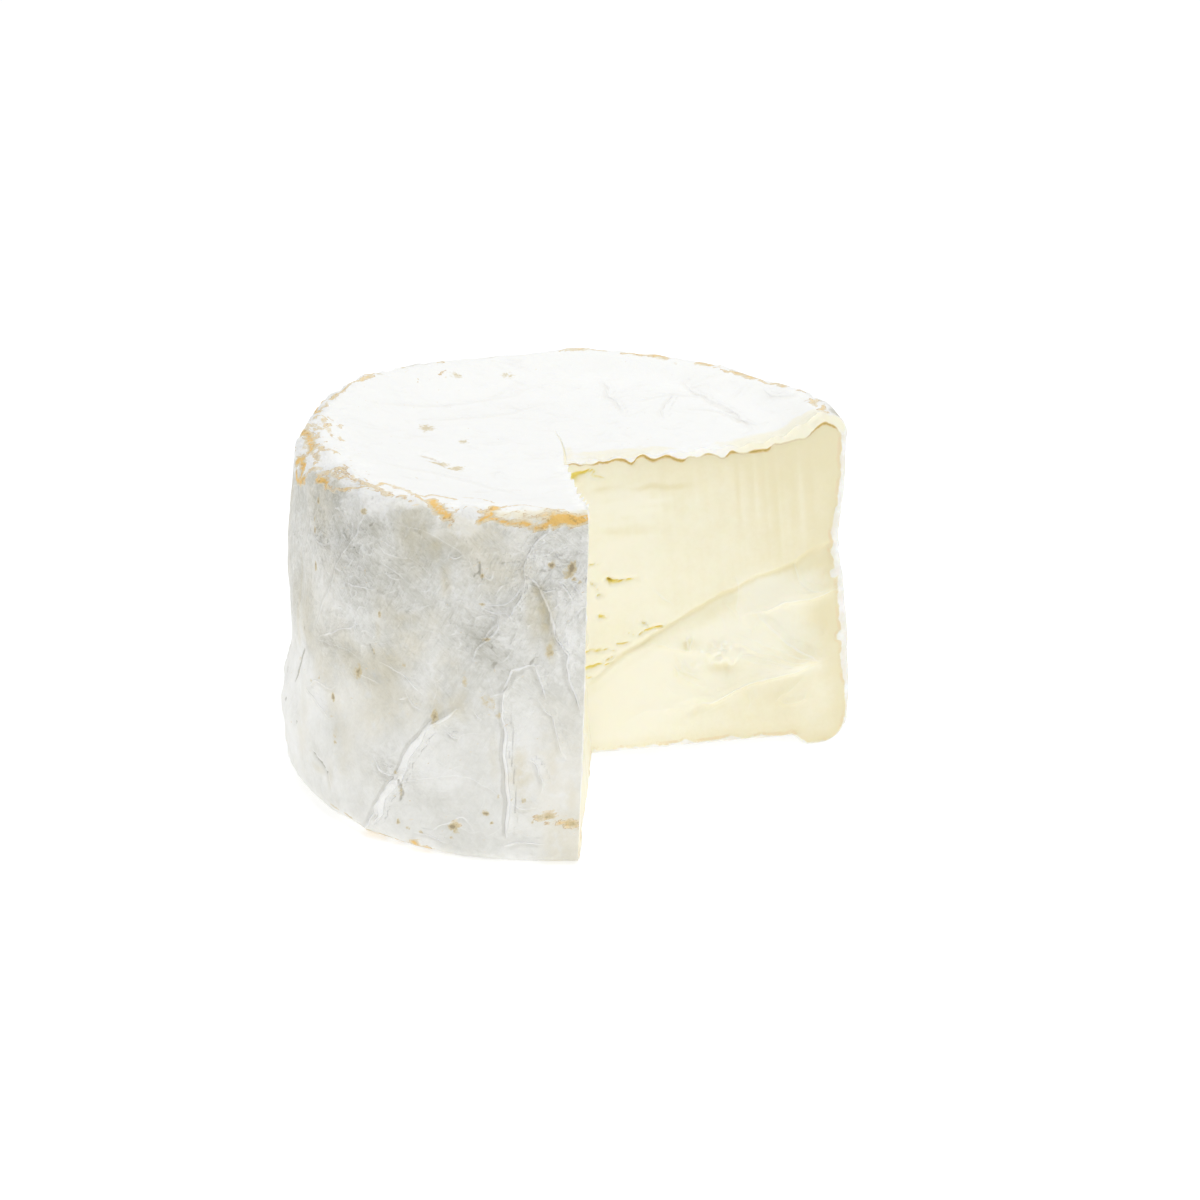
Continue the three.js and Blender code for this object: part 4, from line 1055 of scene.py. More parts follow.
def make_profile_row(cloud, height_at, radius_at, angle, rim_at, relief=1.0, region=SIDE):
    """A ring of the rim, side or foot; `angle` tilts its outward direction up from level."""
    mean_height = float(height_at(np.array(180.0)))
    start = cut_azimuth(FAR_CUT, mean_height, radius_at)
    end = cut_azimuth(NEAR_CUT, mean_height, radius_at)
    azimuth = spread_azimuths(start, end, ring_spacing)
    radius = radius_at(azimuth)
    cosine = np.cos(azimuth * DEGREE)
    sine = np.sin(azimuth * DEGREE)
    places = (azimuth - start) / (end - start)
    level = relief * math.cos(angle)
    return cloud.add(
        places, x=radius * cosine, y=radius * sine, z=height_at(azimuth),
        out_x=level * cosine, out_y=level * sine, out_z=relief * math.sin(angle),
        azimuth=azimuth, rim=rim_at(azimuth), region=region,
    )


def make_top_rows(cloud):
    shares = np.arange(1, TOP_RINGS + 1) / TOP_RINGS
    return [make_sheet_row(cloud, INNER_TOP, share, CENTRE_HEIGHT, crest_radius, top_height,
                           ring_spacing, TOP) for share in shares]


def make_rim_rows(cloud):
    rows = []
    for k in range(1, RIM_RINGS + 1):
        angle = (1 - k / RIM_RINGS) * math.pi / 2
        rows.append(make_profile_row(
            cloud,
            lambda azimuth: crest_height(azimuth) - rim_rounding(azimuth) * (1 - math.sin(angle)),
            lambda azimuth: crest_radius(azimuth) + rim_rounding(azimuth) * math.cos(angle),
            angle,
            lambda azimuth: rim_rounding(azimuth) * (math.pi / 2 - angle),
        ))
    return rows


def make_side_rows(cloud):
    rows = []
    for k in range(1, SIDE_RINGS + 1):
        def height_at(azimuth, share=k / SIDE_RINGS):
            return mix(crest_height(azimuth) - rim_rounding(azimuth), base_rounding(azimuth), share)

        def rim_at(azimuth, height_at=height_at):
            drop = crest_height(azimuth) - rim_rounding(azimuth) - height_at(azimuth)
            return rim_rounding(azimuth) * math.pi / 2 + drop

        rows.append(make_profile_row(
            cloud, height_at, lambda azimuth: side_radius(azimuth, height_at(azimuth)), 0.0, rim_at))
    return rows


def make_base_rows(cloud):
    """The foot's rounding; its last ring and the foot's inner ring lie on the floor."""
    rows = []
    for k in range(1, BASE_RINGS + 1):
        angle = k / BASE_RINGS * math.pi / 2
        rows.append(make_profile_row(
            cloud,
            lambda azimuth: base_rounding(azimuth) * (1 - math.sin(angle)),
            lambda azimuth: (side_radius(azimuth, base_rounding(azimuth))
                             - base_rounding(azimuth) * (1 - math.cos(angle))),
            -angle,
            always(RIM_HEIGHT),
            relief=math.cos(angle),
        ))
    rows.append(make_profile_row(cloud, always(0.0), always(FOOT_INNER_RADIUS), 0.0,
                                 always(RIM_HEIGHT), relief=0.0, region=UNDERSIDE))
    return rows


def make_hollow_rows(cloud):
    rows = []
    for k in range(HOLLOW_RINGS - 1, 0, -1):
        share = 1 - (1 - k / HOLLOW_RINGS) ** 1.25
        rows.append(make_sheet_row(cloud, INNER_BOTTOM, share, 0, always(FOOT_INNER_RADIUS),
                                   hollow_height, always(UNDERSIDE_SPACING), UNDERSIDE))
    return rows


def stitch(triangles, upper, lower):
    """Joins two rows by a band of triangles, going along both at the same pace."""
    a = 0
    b = 0
    numbers_a, places_a = upper.numbers.tolist(), upper.places.tolist()
    numbers_b, places_b = lower.numbers.tolist(), lower.places.tolist()
    last_a = len(numbers_a) - 1
    last_b = len(numbers_b) - 1
    while a < last_a or b < last_b:
        if b == last_b or (a < last_a and places_a[a + 1] <= places_b[b + 1]):
            triangles.append((numbers_a[a], numbers_b[b], numbers_a[a + 1]))
            a += 1
        else:
            triangles.append((numbers_a[a], numbers_b[b], numbers_b[b + 1]))
            b += 1


def stitch_rows(triangles, rows, flipped=False):
    """Joins all neighbouring rows; `flipped` turns the triangles' outer side round."""
    for upper, lower in zip(rows, rows[1:]):
        if flipped:
            upper, lower = lower, upper
        stitch(triangles, upper, lower)


# ---- The crust along the rim ----
CRUST_REACH = 4.5          # how far the broken crust reaches down from the crest
CRUST_REACH_LEFT = 6.0     # added to it on the left
CRUST_INWARD = 1.6         # how far it reaches in over the top
CRUST_INWARD_LEFT = 6.0    # added to it on the left
CRUST_FADE = 2.0           # it dies out this much further, both ways
CRUST_BEHIND = 0.35        # share of its relief that the crust has at the back
CRUST_DROP_LEFT = 8.0      # how much further down the white and the ochre reach on the left

# Where the top's relief and lines give way to the side's, as the way out and down from the crest.
TOP_TO_SIDE = (-2.5, 2.0)
TOP_LINES_FADE = (-2.5, -0.6)
SIDE_LINES_FADE = (-0.6, 1.5)
TOP_RELIEF_UNTIL = 2.5
SIDE_RELIEF_FROM = -9.0


def crust_strength(azimuth, rim):
    """How much broken crust a place has: all along the rim, widest at the left."""
    left = hump(turn(190, azimuth), 30)
    behind = mix(1, CRUST_BEHIND, hump(turn(75, azimuth), 62))
    inward = CRUST_INWARD + CRUST_INWARD_LEFT * left
    outward = CRUST_REACH + CRUST_REACH_LEFT * left
    return behind * within(-inward - CRUST_FADE, -0.4 * inward, 0.5 * outward, outward + CRUST_FADE, rim)


def displace_skin(facts):
    """Moves the skin's points out by their relief; returns where it is pitted and rough, and its lines."""
    points = np.stack([facts["x"], facts["y"], facts["z"]], axis=1)
    count = len(points)
    found = {"pit_shade_mask": np.zeros(count), "rough": np.zeros(count)}
    lines = Lines(count)
    relief = np.zeros(count)
    rim = facts["rim"]
    azimuth = facts["azimuth"]
    top = facts["region"] == TOP
    side = facts["region"] == SIDE
    sideways = smooth_step(*TOP_TO_SIDE, rim)
    on_top = np.nonzero(top | (side & (rim < TOP_RELIEF_UNTIL)))[0]
    on_side = np.nonzero(side | (top & (rim > SIDE_RELIEF_FROM)))[0]
    under = np.nonzero((facts["region"] == UNDERSIDE) & (points[:, 2] > 1e-6))[0]

    share = 1 - sideways[on_top]
    top_part, pits, top_lines = top_relief(points[on_top])
    relief[on_top] += share * top_part
    found["pit_shade_mask"][on_top] = share * pits
    lines.side[:, on_top] = top_lines.side
    lines.strength[:, on_top] = top_lines.strength * (1 - smooth_step(*TOP_LINES_FADE, rim[on_top]))

    share = sideways[on_side]
    side_part, pits, rough, side_lines = side_relief(points[on_side], azimuth[on_side])
    relief[on_side] += share * side_part
    found["pit_shade_mask"][on_side] = np.maximum(found["pit_shade_mask"][on_side], share * pits)
    found["rough"][on_side] = share * rough
    beyond = rim[on_side] > SIDE_LINES_FADE[0]
    lines.side[:, on_side[beyond]] = side_lines.side[:, beyond]
    faded = side_lines.strength * smooth_step(*SIDE_LINES_FADE, rim[on_side])
    lines.strength[:, on_side[beyond]] = faded[:, beyond]

    relief[on_side] += crust_strength(azimuth, rim)[on_side] * crust_relief(points[on_side])
    relief[under] += layered(points[under], UNDERSIDE_LUMPS)
    for axis in "xyz":
        facts[axis] = facts[axis] + relief * facts["out_" + axis]
    facts["z"] = facts["z"] - np.where(top, slit_depth(facts["x"], facts["y"]), 0)
    return found, lines


def crust_relief(points):
    scales = CRUST_BED + sum(rise * np.maximum(0, lumps(points, size, seed))
                             for rise, size, seed in CRUST_LUMPS)
    chips = sum(rise * smooth_step(-0.05, 0.35, lumps(points, size, seed))
                for rise, size, seed in CRUST_CHIPS)
    return scales + 0.6 * (chips - 0.4)


# ---- The cut faces ----
# Depth of the ochre line under the rind's outer surface, along the three edges of a cut.
LINE_DEPTH_TOP = 1.15
LINE_DEPTH_OUTER = 1.7
LINE_DEPTH_BOTTOM = 0.75
LINE_WAVE = 0.42
RIND_PROUD = 0.2           # the rind stands out from the paste by this much
LINE_GROOVE = 0.3          # and the line between them is sunk by this much
LINE_GROOVE_WIDTH = 0.42
# The ochre line along the top of the far face: distance along, height, strength.
FAR_LINE = [
    (0, 66.9, 0.6), (1.1, 67.1, 0.7), (2.6, 67.6, 0.8), (4.3, 66.2, 0.6), (6.1, 65.9, 0.9), (7.3, 66.7, 1.0),
    (8.6, 66.2, 0.9), (10.6, 66.8, 1.0), (12.6, 66.4, 1.1), (14.2, 65.1, 0.9), (15.1, 66.9, 1.0),
    (16.5, 67.3, 1.2), (17.8, 65.9, 1.5), (19.2, 65.6, 0.9), (19.8, 66.1, 0.9), (21.6, 66.6, 1.3),
    (23.1, 65.6, 1.1), (25.0, 65.0, 1.0), (26.3, 65.9, 0.5), (28.3, 65.2, 0.4), (29.2, 65.8, 0.6),
    (30.4, 66.1, 0.9), (32.0, 65.4, 0.5), (33.6, 64.4, 0.6), (34.4, 65.5, 0.9), (35.6, 66.2, 1.1),
    (36.5, 65.5, 0.7), (38.2, 65.3, 0.35), (39.8, 65.6, 1.1), (43.6, 65.7, 1.0), (44.3, 66.9, 0.5),
    (45.6, 66.5, 0.6), (49.7, 67.3, 0.5), (51.5, 67.2, 0.5), (52.6, 68.3, 0.9), (53.8, 69.4, 1.0),
    (55.5, 70.4, 1.0), (58.0, 69.1, 0.9), (59.6, 66.9, 0.6), (64.0, 66.9, 0.6),
]
NEAR_LINE_STRENGTH = [(0, 0.5), (10, 0.9), (22, 0.6), (34, 1.0), (56, 0.9)]
NEAR_LINE_SEED = 111
LEAST_LINE_DEPTH = 0.5
LINE_ROUNDING = np.linspace(-0.6, 0.6, 7)  # the line is averaged over this stretch
EDGE_FOLLOWS = 0.8         # how far inside a cut face the waves of its edges still show
SKIN_EDGE = -1.4           # the layer "edge" of the skin itself
DEEP_INSIDE = 9.0          # and of the corner between the cuts
FACE_PAINT = ["ochre_line", "peach_line", "crack", "tone", "bright"]  # layers that the skin lacks


def place_on_cut(cut, points):
    """Distance along a cut's level line, distance to the right of it, and height."""
    line_x, line_y, along_x, along_y = cut_line(cut, points[:, 2])
    gap_x = points[:, 0] - line_x
    gap_y = points[:, 1] - line_y
    return gap_x * along_x + gap_y * along_y, gap_x * along_y - gap_y * along_x, points[:, 2]


def saw_wave(along):
    """The ochre line climbs steeply in each wave and slopes down on its way out."""
    phase = edge_phase(along)
    return np.sin(phase + 0.7 * np.sin(phase))


def far_line(along, top_height_at):
    """Depth of the far face's ochre line below the top edge, and its strength."""
    at, height, strength = np.array(FAR_LINE).T
    rounded = np.mean([np.interp(along + shift, at, height) for shift in LINE_ROUNDING], axis=0)
    return np.maximum(LEAST_LINE_DEPTH, top_height_at - rounded), np.interp(along, at, strength)


def near_line(along, _):
    """The same for the near face, wherever its top edge is."""
    at, strength = np.array(NEAR_LINE_STRENGTH).T
    wavy = LINE_DEPTH_TOP + LINE_WAVE * saw_wave(along)
    wavy = wavy + 0.25 * lumps(flat_points(along, along * 0), 2.6, NEAR_LINE_SEED)
    return wavy, np.interp(along, at, strength)


Face = namedtuple("Face", "cut side columns relief_at line_at creamy seed")
FACES = [
    Face(FAR_CUT, 1, FAR_FACE_COLUMNS, far_relief, far_line, 1, 101),
    Face(NEAR_CUT, -1, NEAR_FACE_COLUMNS, near_relief, near_line, 0, 111),
]


def paint_rind_edge(face, along, z, inset_top, inset_outer, inset_bottom):
    """The paint of the rind's edge on a cut face, and how much deeper the paste is beside it.

    The layer "edge" says how far a point lies inside the line between the rind and the paste.
    """
    sheet = flat_points(along, z)
    ragged = 0.35 * lumps(sheet, 2.6, face.seed) + 0.25 * lumps(sheet, 1.2, face.seed + 1)
    bites = 1.3 * smooth_step(0.25, 0.8, lumps(sheet, 3.4, face.seed + 5))
    depth_top, strength = face.line_at(along, inset_top + z)
    depth_outer = mix(0.6, LINE_DEPTH_OUTER, smooth_step(6, 16, z)) - 0.4 * smooth_step(48, 54, z)
    from_top = inset_top - depth_top - 0.12 * ragged
    from_outer = inset_outer - depth_outer - ragged - bites
    from_bottom = inset_bottom - LINE_DEPTH_BOTTOM - 0.9 * ragged - 0.4 * bites
    others = np.minimum(from_outer, from_bottom)
    on_top = smooth_step(-0.8, 0.8, others - from_top)
    paint = {
        "edge": np.minimum(from_top, others),
        "ochre_line": on_top * strength,
        "peach_line": (1 - on_top) * (0.6 + 0.6 * lumps(sheet, 3.5, face.seed + 2)),
        "cream": face.creamy * on_top * smooth_step(31, 40, along + ragged),
    }
    return paint, 0.25 * smooth_step(5, 0, from_outer) + 0.2 * smooth_step(3, 0, from_bottom)


def rind_edge_relief(face, along, z, edge, ochre_line):
    """How far the rind's edge stands out from a cut face, with the groove inside it."""
    sheet = flat_points(along, z)
    rough = 0.16 * lumps(sheet, 1.7, face.seed + 3) + 0.1 * lumps(sheet, 0.95, face.seed + 4)
    proud = (1 - smooth_step(-0.5, 0.1, edge)) * (RIND_PROUD + rough)
    return proud - LINE_GROOVE * hump(edge, LINE_GROOVE_WIDTH) * (0.15 + 0.85 * ochre_line)


def fill_cut_face(face, points, top_row, bottom_row, inner_line, outer_line):
    """Points of a cut face between its four edges, row by row from the top, with their paint."""
    edges = (top_row, bottom_row, inner_line, outer_line)
    top, bottom, inner, outer = (place_on_cut(face.cut, points[row.numbers]) for row in edges)
    down = inner_line.places[1:-1, None]
    out = (np.arange(1, face.columns) / face.columns)[None, :]

    def blend(key):
        """Coons patch of one coordinate between the four edges."""
        from_top = np.interp(out, top_row.places, top[key])
        from_bottom = np.interp(out, bottom_row.places, bottom[key])
        across = mix(inner[key][1:-1, None], outer[key][1:-1, None], out)
        corners = mix(mix(top[key][0], top[key][-1], out), mix(bottom[key][0], bottom[key][-1], out), down)
        return (mix(from_top, from_bottom, down) + across - corners).ravel()

    along = blend(0)
    z = blend(2)
    order = np.argsort(outer[2])
    outer_along, outer_off, outer_z = (values[order] for values in outer)
    inset_top = np.interp(along, top[0], top[2]) - z
    inset_outer = np.interp(z, outer_z, outer_along) - along
    inset_bottom = z - np.interp(along, bottom[0], bottom[2])
    paint, deeper = paint_rind_edge(face, along, z, inset_top, inset_outer, inset_bottom)
    inset = np.minimum(np.minimum(inset_top, inset_outer), inset_bottom)
    relief, crack, tone, bright, lines = face.relief_at(along, z)
    relief = relief * smooth_step(0.6, 2.6, inset) * smooth_step(0, 1.5, along)
    relief = relief + rind_edge_relief(face, along, z, paint["edge"], paint["ochre_line"])
    off = face.side * relief
    off = off + np.interp(along, top[0], top[1]) * hump(inset_top, EDGE_FOLLOWS)
    off = off + np.interp(z, outer_z, outer_off) * hump(inset_outer, EDGE_FOLLOWS)
    off = off + np.interp(along, bottom[0], bottom[1]) * hump(inset_bottom, EDGE_FOLLOWS)
    line_x, line_y, along_x, along_y = cut_line(face.cut, z)
    made = np.stack([line_x + along * along_x + off * along_y,
                     line_y + along * along_y - off * along_x, z], axis=1)
    return made, paint | {"crack": crack, "tone": tone + deeper, "bright": bright} | lines.paint()


def ends_of(rows, which):
    return np.array([row.numbers[which] for row in rows])


def build_wheel():
    """Points, triangles, the triangles that are paste, and the paint of every point."""
    cloud = Cloud()
    corner_height = float(top_height(*INNER_TOP))
    corner_top = cloud.add(0.0, x=INNER_TOP.x, y=INNER_TOP.y, z=corner_height, region=TOP,
                           azimuth=azimuth_of(*INNER_TOP), rim=-RIM_HEIGHT)
    bottom_height = float(hollow_height(*INNER_BOTTOM))
    corner_bottom = cloud.add(0.0, x=INNER_BOTTOM.x, y=INNER_BOTTOM.y, z=bottom_height, region=UNDERSIDE)
    top_rows = make_top_rows(cloud)
    wall_rows = make_rim_rows(cloud) + make_side_rows(cloud)
    base_rows = make_base_rows(cloud)
    hollow_rows = make_hollow_rows(cloud)
    facts = cloud.gathered()
    found, lines = displace_skin(facts)
    points = np.stack([facts["x"], facts["y"], facts["z"]], axis=1)
    paint = paint_skin(points, facts, found) | lines.paint()

    triangles = []
    stitch_rows(triangles, [corner_top, *top_rows, *wall_rows, *base_rows, *hollow_rows, corner_bottom])
    skin_triangles = len(triangles)

    crossing = [top_rows[-1], *wall_rows, *base_rows[:-1]]
    level = np.arange(len(crossing)) / (len(crossing) - 1)
    line_height = mix(points[corner_top.numbers[0], 2], bottom_height, level[1:-1])
    line_x, line_y, _, _ = cut_line(FAR_CUT, line_height)
    inner_points = np.stack([line_x, line_y, line_height], axis=1)
    inner_numbers = len(points) + np.arange(len(inner_points))
    inner_line = Row(np.concatenate([corner_top.numbers, inner_numbers, corner_bottom.numbers]), level)
    points = np.vstack([points, inner_points])
    extend_paint(paint, {"edge": np.full(len(inner_points), DEEP_INSIDE)}, len(inner_points))

    bottom_rows = [base_rows[-2], base_rows[-1], *hollow_rows]
    for face in FACES:
        which = 0 if face.side > 0 else -1
        top_numbers = np.concatenate([corner_top.numbers, ends_of(top_rows, which)])
        bottom_numbers = np.concatenate([corner_bottom.numbers, ends_of(bottom_rows, which)[::-1]])
        outer_line = Row(ends_of(crossing, which), level)
        top_row = Row(top_numbers, shares_along(points[top_numbers]))
        bottom_row = Row(bottom_numbers, shares_along(points[bottom_numbers]))
        made, face_paint = fill_cut_face(face, points, top_row, bottom_row, inner_line, outer_line)
        numbers = len(points) + np.arange(len(made)).reshape(len(level) - 2, -1)
        points = np.vstack([points, made])
        extend_paint(paint, face_paint, len(made))
        places = np.arange(face.columns + 1) / face.columns
        middles = np.column_stack([inner_line.numbers[1:-1], numbers, outer_line.numbers[1:-1]])
        rows = [top_row, *(Row(middle, places) for middle in middles), bottom_row]
        stitch_rows(triangles, rows, flipped=face.side < 0)
    paste = np.arange(len(triangles)) >= skin_triangles
    return points, np.array(triangles), paste, paint


def shares_along(points):
    steps = np.hypot(np.diff(points[:, 0]), np.diff(points[:, 1]))
    walked = np.concatenate([[0], np.cumsum(steps)])
    return walked / walked[-1]


def extend_paint(paint, more, count):
    """Lengthens every layer of paint by `count` points, with zeros where nothing new is said."""
    for name in paint:
        paint[name] = np.concatenate([paint[name], more.get(name, np.zeros(count))])


# ---- Paint of the skin ----
# Ochre strokes of the crust: strength, width, places as azimuth and way down from the crest.
RIM_STROKES = [
    (1.5, 1.1, [[175.7, 5.2], [179.8, 4.6], [184.9, 3.8], [189.9, 4.1], [193.0, 5.0]]),
    (1.7, 1.0, [[188.9, 8.4], [191.8, 7.3], [195.4, 7.6], [198.1, 9.4]]),
    (1.5, 0.8, [[191.0, 10.0], [193.5, 10.9], [197.6, 9.9], [201.1, 8.6]]),
    (0.8, 0.5, [[197.0, 1.8], [199.6, 0.6], [202.4, 0.3]]),
    (1.5, 0.8, [[165.1, 2.0], [162.0, 4.0], [157.8, 3.5]]),
    (0.9, 0.9, [[157.4, 2.4], [154.2, 0.9], [150.8, 1.2], [147.8, 0.9], [145.3, 0.0], [140.7, 0.3]]),
    (0.8, 0.45, [[176.7, -3.2], [178.8, -2.6], [180.8, -3.0]]),
    (0.7, 0.45, [[181.8, -1.6], [184.4, -1.2]]),
    (0.8, 0.45, [[186.3, -3.2], [188.4, -2.6], [189.9, -3.4]]),
    (0.8, 0.5, [[171.2, 1.5], [173.2, 0.2], [175.7, 0.8]]),
    (1.5, 0.9, [[206.8, 6.4], [208.2, 5.8], [210.3, 5.2], [211.9, 5.6]]),
    (0.9, 0.5, [[202.1, 7.6], [204.4, 5.8], [207.2, 4.6], [210.0, 3.3]]),
    (0.8, 0.5, [[210.0, 3.3], [214.3, 2.9], [216.2, 0.9]]),
    (0.9, 0.55, [[212.3, 5.0], [215.1, 5.1], [218.0, 4.4], [220.6, 3.4], [223.7, 2.0], [224.7, 0.9]]),
    (0.8, 0.5, [[224.7, 0.9], [225.1, -0.9], [225.6, -2.3], [228.5, -2.9], [231.4, -3.0], [233.6, -2.6]]),
    (1.0, 0.6, [[233.6, -2.4], [235.7, -1.0], [238.4, 0.3], [239.7, 0.2]]),
    (0.9, 0.55, [[236.7, -1.6], [238.3, -3.9], [240.7, -4.2], [244.0, -3.9], [245.3, -3.0]]),
    (1.7, 1.2, [[240.1, -1.0], [241.8, 0.4], [243.8, 2.0], [245.7, 3.2]]),
    (0.7, 0.5, [[245.7, 3.2], [246.8, 4.6], [246.4, 6.0]]),
    (0.7, 0.45, [[244.5, -5.9], [248.0, -5.9], [252.0, -4.5], [253.3, -3.2]]),
    (1.4, 1.0, [[253.7, 3.6], [254.5, 2.4], [254.8, 0.6], [255.6, -0.6]]),
    (0.8, 0.45, [[255.6, -0.6], [257.5, -2.4], [261.7, -3.8], [264.6, -1.6], [267.2, 0.0], [269.9, -1.4]]),
    (1.2, 0.8, [[254.7, 2.7], [258.9, 3.6], [261.6, 3.3], [264.2, 3.5], [267.5, 2.5]]),
    (1.6, 1.2, [[268.0, 2.3], [270.2, 1.6], [272.2, 1.9], [274.8, 1.6], [277.8, 1.6]]),
    (0.7, 0.4, [[120.4, -0.3], [122.0, -0.2], [123.4, -0.5]]),
    (0.7, 0.45, [[122.7, -3.4], [123.8, -4.2], [124.3, -5.2]]),
    (0.7, 0.4, [[127.4, 1.2], [128.5, 1.4]]),
    (0.6, 0.4, [[131.6, -5.2], [132.7, -5.8]]),
    (0.6, 0.4, [[108.3, -2.0], [109.7, -2.1]]),
]
# Dark specks and brown spots on the side: azimuth, height, half width, half height, strength.
BROWN_SPOTS = [
    (209.8, 65.0, 0.5, 0.7, 0.9), (207.9, 60.8, 0.5, 0.7, 0.8), (208.4, 58.4, 0.5, 0.6, 0.9),
    (209.3, 51.5, 0.6, 1.0, 0.9), (226.9, 55.2, 0.45, 0.7, 0.7), (226.7, 67.5, 1.0, 0.6, 0.9),
    (253.3, 61.4, 0.4, 0.5, 0.8), (253.6, 60.1, 0.35, 0.5, 0.7), (253.8, 58.9, 0.45, 0.5, 0.9),
    (267.3, 61.6, 0.7, 0.7, 1.0), (271.2, 61.0, 0.9, 1.3, 1.0), (270.5, 59.7, 1.1, 1.0, 0.7),
    (271.7, 58.8, 0.7, 0.6, 0.9), (272.8, 58.2, 0.5, 0.6, 0.9), (230.6, 47.3, 0.4, 0.6, 0.7),
    (230.5, 44.6, 0.5, 1.8, 0.3), (239.2, 50.8, 0.4, 0.3, 0.7), (253.5, 52.9, 0.6, 0.4, 0.8),
    (254.4, 45.8, 0.7, 0.4, 0.8), (267.2, 44.1, 1.0, 1.6, 0.6), (236.4, 37.9, 0.35, 0.5, 0.8),
    (224.4, 33.5, 1.1, 1.7, 0.75), (228.6, 38.6, 0.5, 0.8, 0.6), (216.6, 26.1, 0.5, 0.8, 1.0),
    (216.4, 21.8, 0.6, 0.6, 0.6), (217.7, 18.1, 0.5, 0.6, 0.8), (218.1, 16.8, 0.5, 0.5, 0.7),
    (208.0, 26.4, 0.7, 0.5, 0.6), (211.2, 28.4, 0.5, 0.4, 0.6), (208.5, 11.9, 0.4, 0.4, 0.6),
    (243.8, 28.8, 0.8, 1.4, 0.8), (250.0, 37.0, 0.7, 2.2, 0.45), (254.5, 33.0, 2.0, 2.2, 0.42),
    (256.9, 30.8, 0.9, 0.8, 0.5), (236.2, 16.1, 0.7, 0.4, 0.6), (236.7, 12.0, 0.4, 1.5, 0.6),
    (236.0, 5.4, 0.5, 0.6, 0.9), (238.2, 4.7, 0.8, 0.4, 0.7), (241.3, 4.4, 0.7, 0.35, 0.6),
    (247.9, 6.6, 1.1, 0.8, 1.0), (248.6, 5.8, 0.9, 0.5, 0.8), (247.7, 4.4, 0.5, 0.3, 0.6),
    (254.6, 10.2, 0.8, 0.55, 1.0), (255.8, 8.6, 0.5, 0.4, 1.0), (257.2, 14.1, 0.4, 0.7, 0.8),
    (259.4, 13.6, 0.4, 0.3, 0.7), (261.7, 13.3, 0.7, 0.8, 0.6), (263.6, 8.8, 0.5, 0.5, 0.7),
    (264.9, 10.0, 0.9, 0.5, 0.6), (266.9, 10.3, 1.7, 0.9, 0.62), (271.0, 8.9, 1.7, 0.9, 0.6),
    (218.6, 3.0, 2.2, 0.4, 0.8), (222.5, 2.5, 2.2, 0.4, 0.8), (227.2, 1.5, 2.4, 0.4, 0.8),
    (232.0, 0.9, 2.0, 0.4, 0.7),
    (203.2, 36.5, 0.4, 4.5, 0.4), (199.4, 27.5, 0.5, 4.0, 0.4), (205.9, 66.0, 0.5, 0.7, 0.7),
    (60.5, 12.0, 1.4, 0.9, 0.9), (98.0, 50.0, 1.0, 1.2, 0.8), (133.0, 9.0, 2.0, 0.9, 0.9),
    (163.0, 55.0, 0.9, 1.1, 0.7), (30.0, 30.0, 1.2, 0.9, 0.7), (84.0, 6.5, 1.2, 0.6, 0.9),
    (147.0, 28.0, 0.5, 0.9, 0.8), (110.5, 33.0, 0.6, 0.8, 0.8), (71.0, 56.5, 0.7, 0.6, 0.8),
]
# The same for orange and for beige spots.
ORANGE_SPOTS = [
    (264.8, 9.9, 1.6, 0.6, 0.95), (266.9, 10.4, 1.7, 1.1, 1.15), (266.5, 9.0, 1.0, 0.6, 0.8),
    (268.9, 9.1, 1.1, 0.7, 0.95), (270.9, 8.8, 1.8, 1.1, 1.15), (248.5, 7.2, 1.4, 0.9, 0.7),
    (239.6, 1.6, 1.5, 0.9, 1.4), (241.9, 0.9, 1.6, 0.5, 1.0), (230.4, 0.7, 1.8, 0.5, 1.0),
    (227.0, 0.5, 1.8, 0.5, 0.8), (234.5, 0.6, 2.5, 0.35, 0.5), (218.0, 0.9, 1.6, 0.4, 0.5),
    (100.0, 1.0, 2.6, 0.6, 0.9), (150.0, 0.8, 2.0, 0.5, 0.7), (52.0, 1.0, 2.2, 0.6, 0.8),
]
BEIGE_SPOTS = [
    (264.6, 56.2, 1.3, 1.8, 1.1), (265.6, 53.0, 1.6, 3.2, 1.1), (266.2, 49.5, 1.4, 3.4, 1.1),
    (267.4, 45.0, 1.0, 3.0, 1.1), (263.6, 51.0, 1.8, 6.0, 0.6), (199.0, 40.0, 1.0, 11.0, 0.6),
    (244.0, 31.0, 2.0, 4.0, 0.7),
    (241.7, 66.5, 2.0, 2.4, 0.6), (244.3, 64.0, 2.2, 3.0, 0.7), (246.0, 57.0, 1.2, 3.6, 0.7),
    (236.5, 47.5, 5.0, 2.2, 0.5), (233.0, 38.5, 4.5, 2.6, 0.7), (261.4, 19.0, 2.2, 5.0, 0.9),
    (267.5, 20.0, 2.6, 8.0, 0.6), (256.0, 21.0, 1.2, 5.0, 0.4), (248.5, 31.5, 3.0, 3.2, 0.6),
    (238.5, 59.5, 4.0, 5.0, 0.3), (218.0, 19.0, 1.6, 2.2, 0.5), (271.0, 14.0, 1.6, 5.0, 0.7),
    (216.8, 9.0, 1.2, 3.5, 0.4), (213.0, 31.5, 2.5, 2.5, 0.35), (247.0, 40.0, 3.5, 3.0, 0.4),
    (212.0, 9.5, 3.0, 1.0, 0.5), (230.3, 43.5, 0.9, 3.0, 0.5), (267.0, 13.0, 8.0, 9.0, 0.38),
]
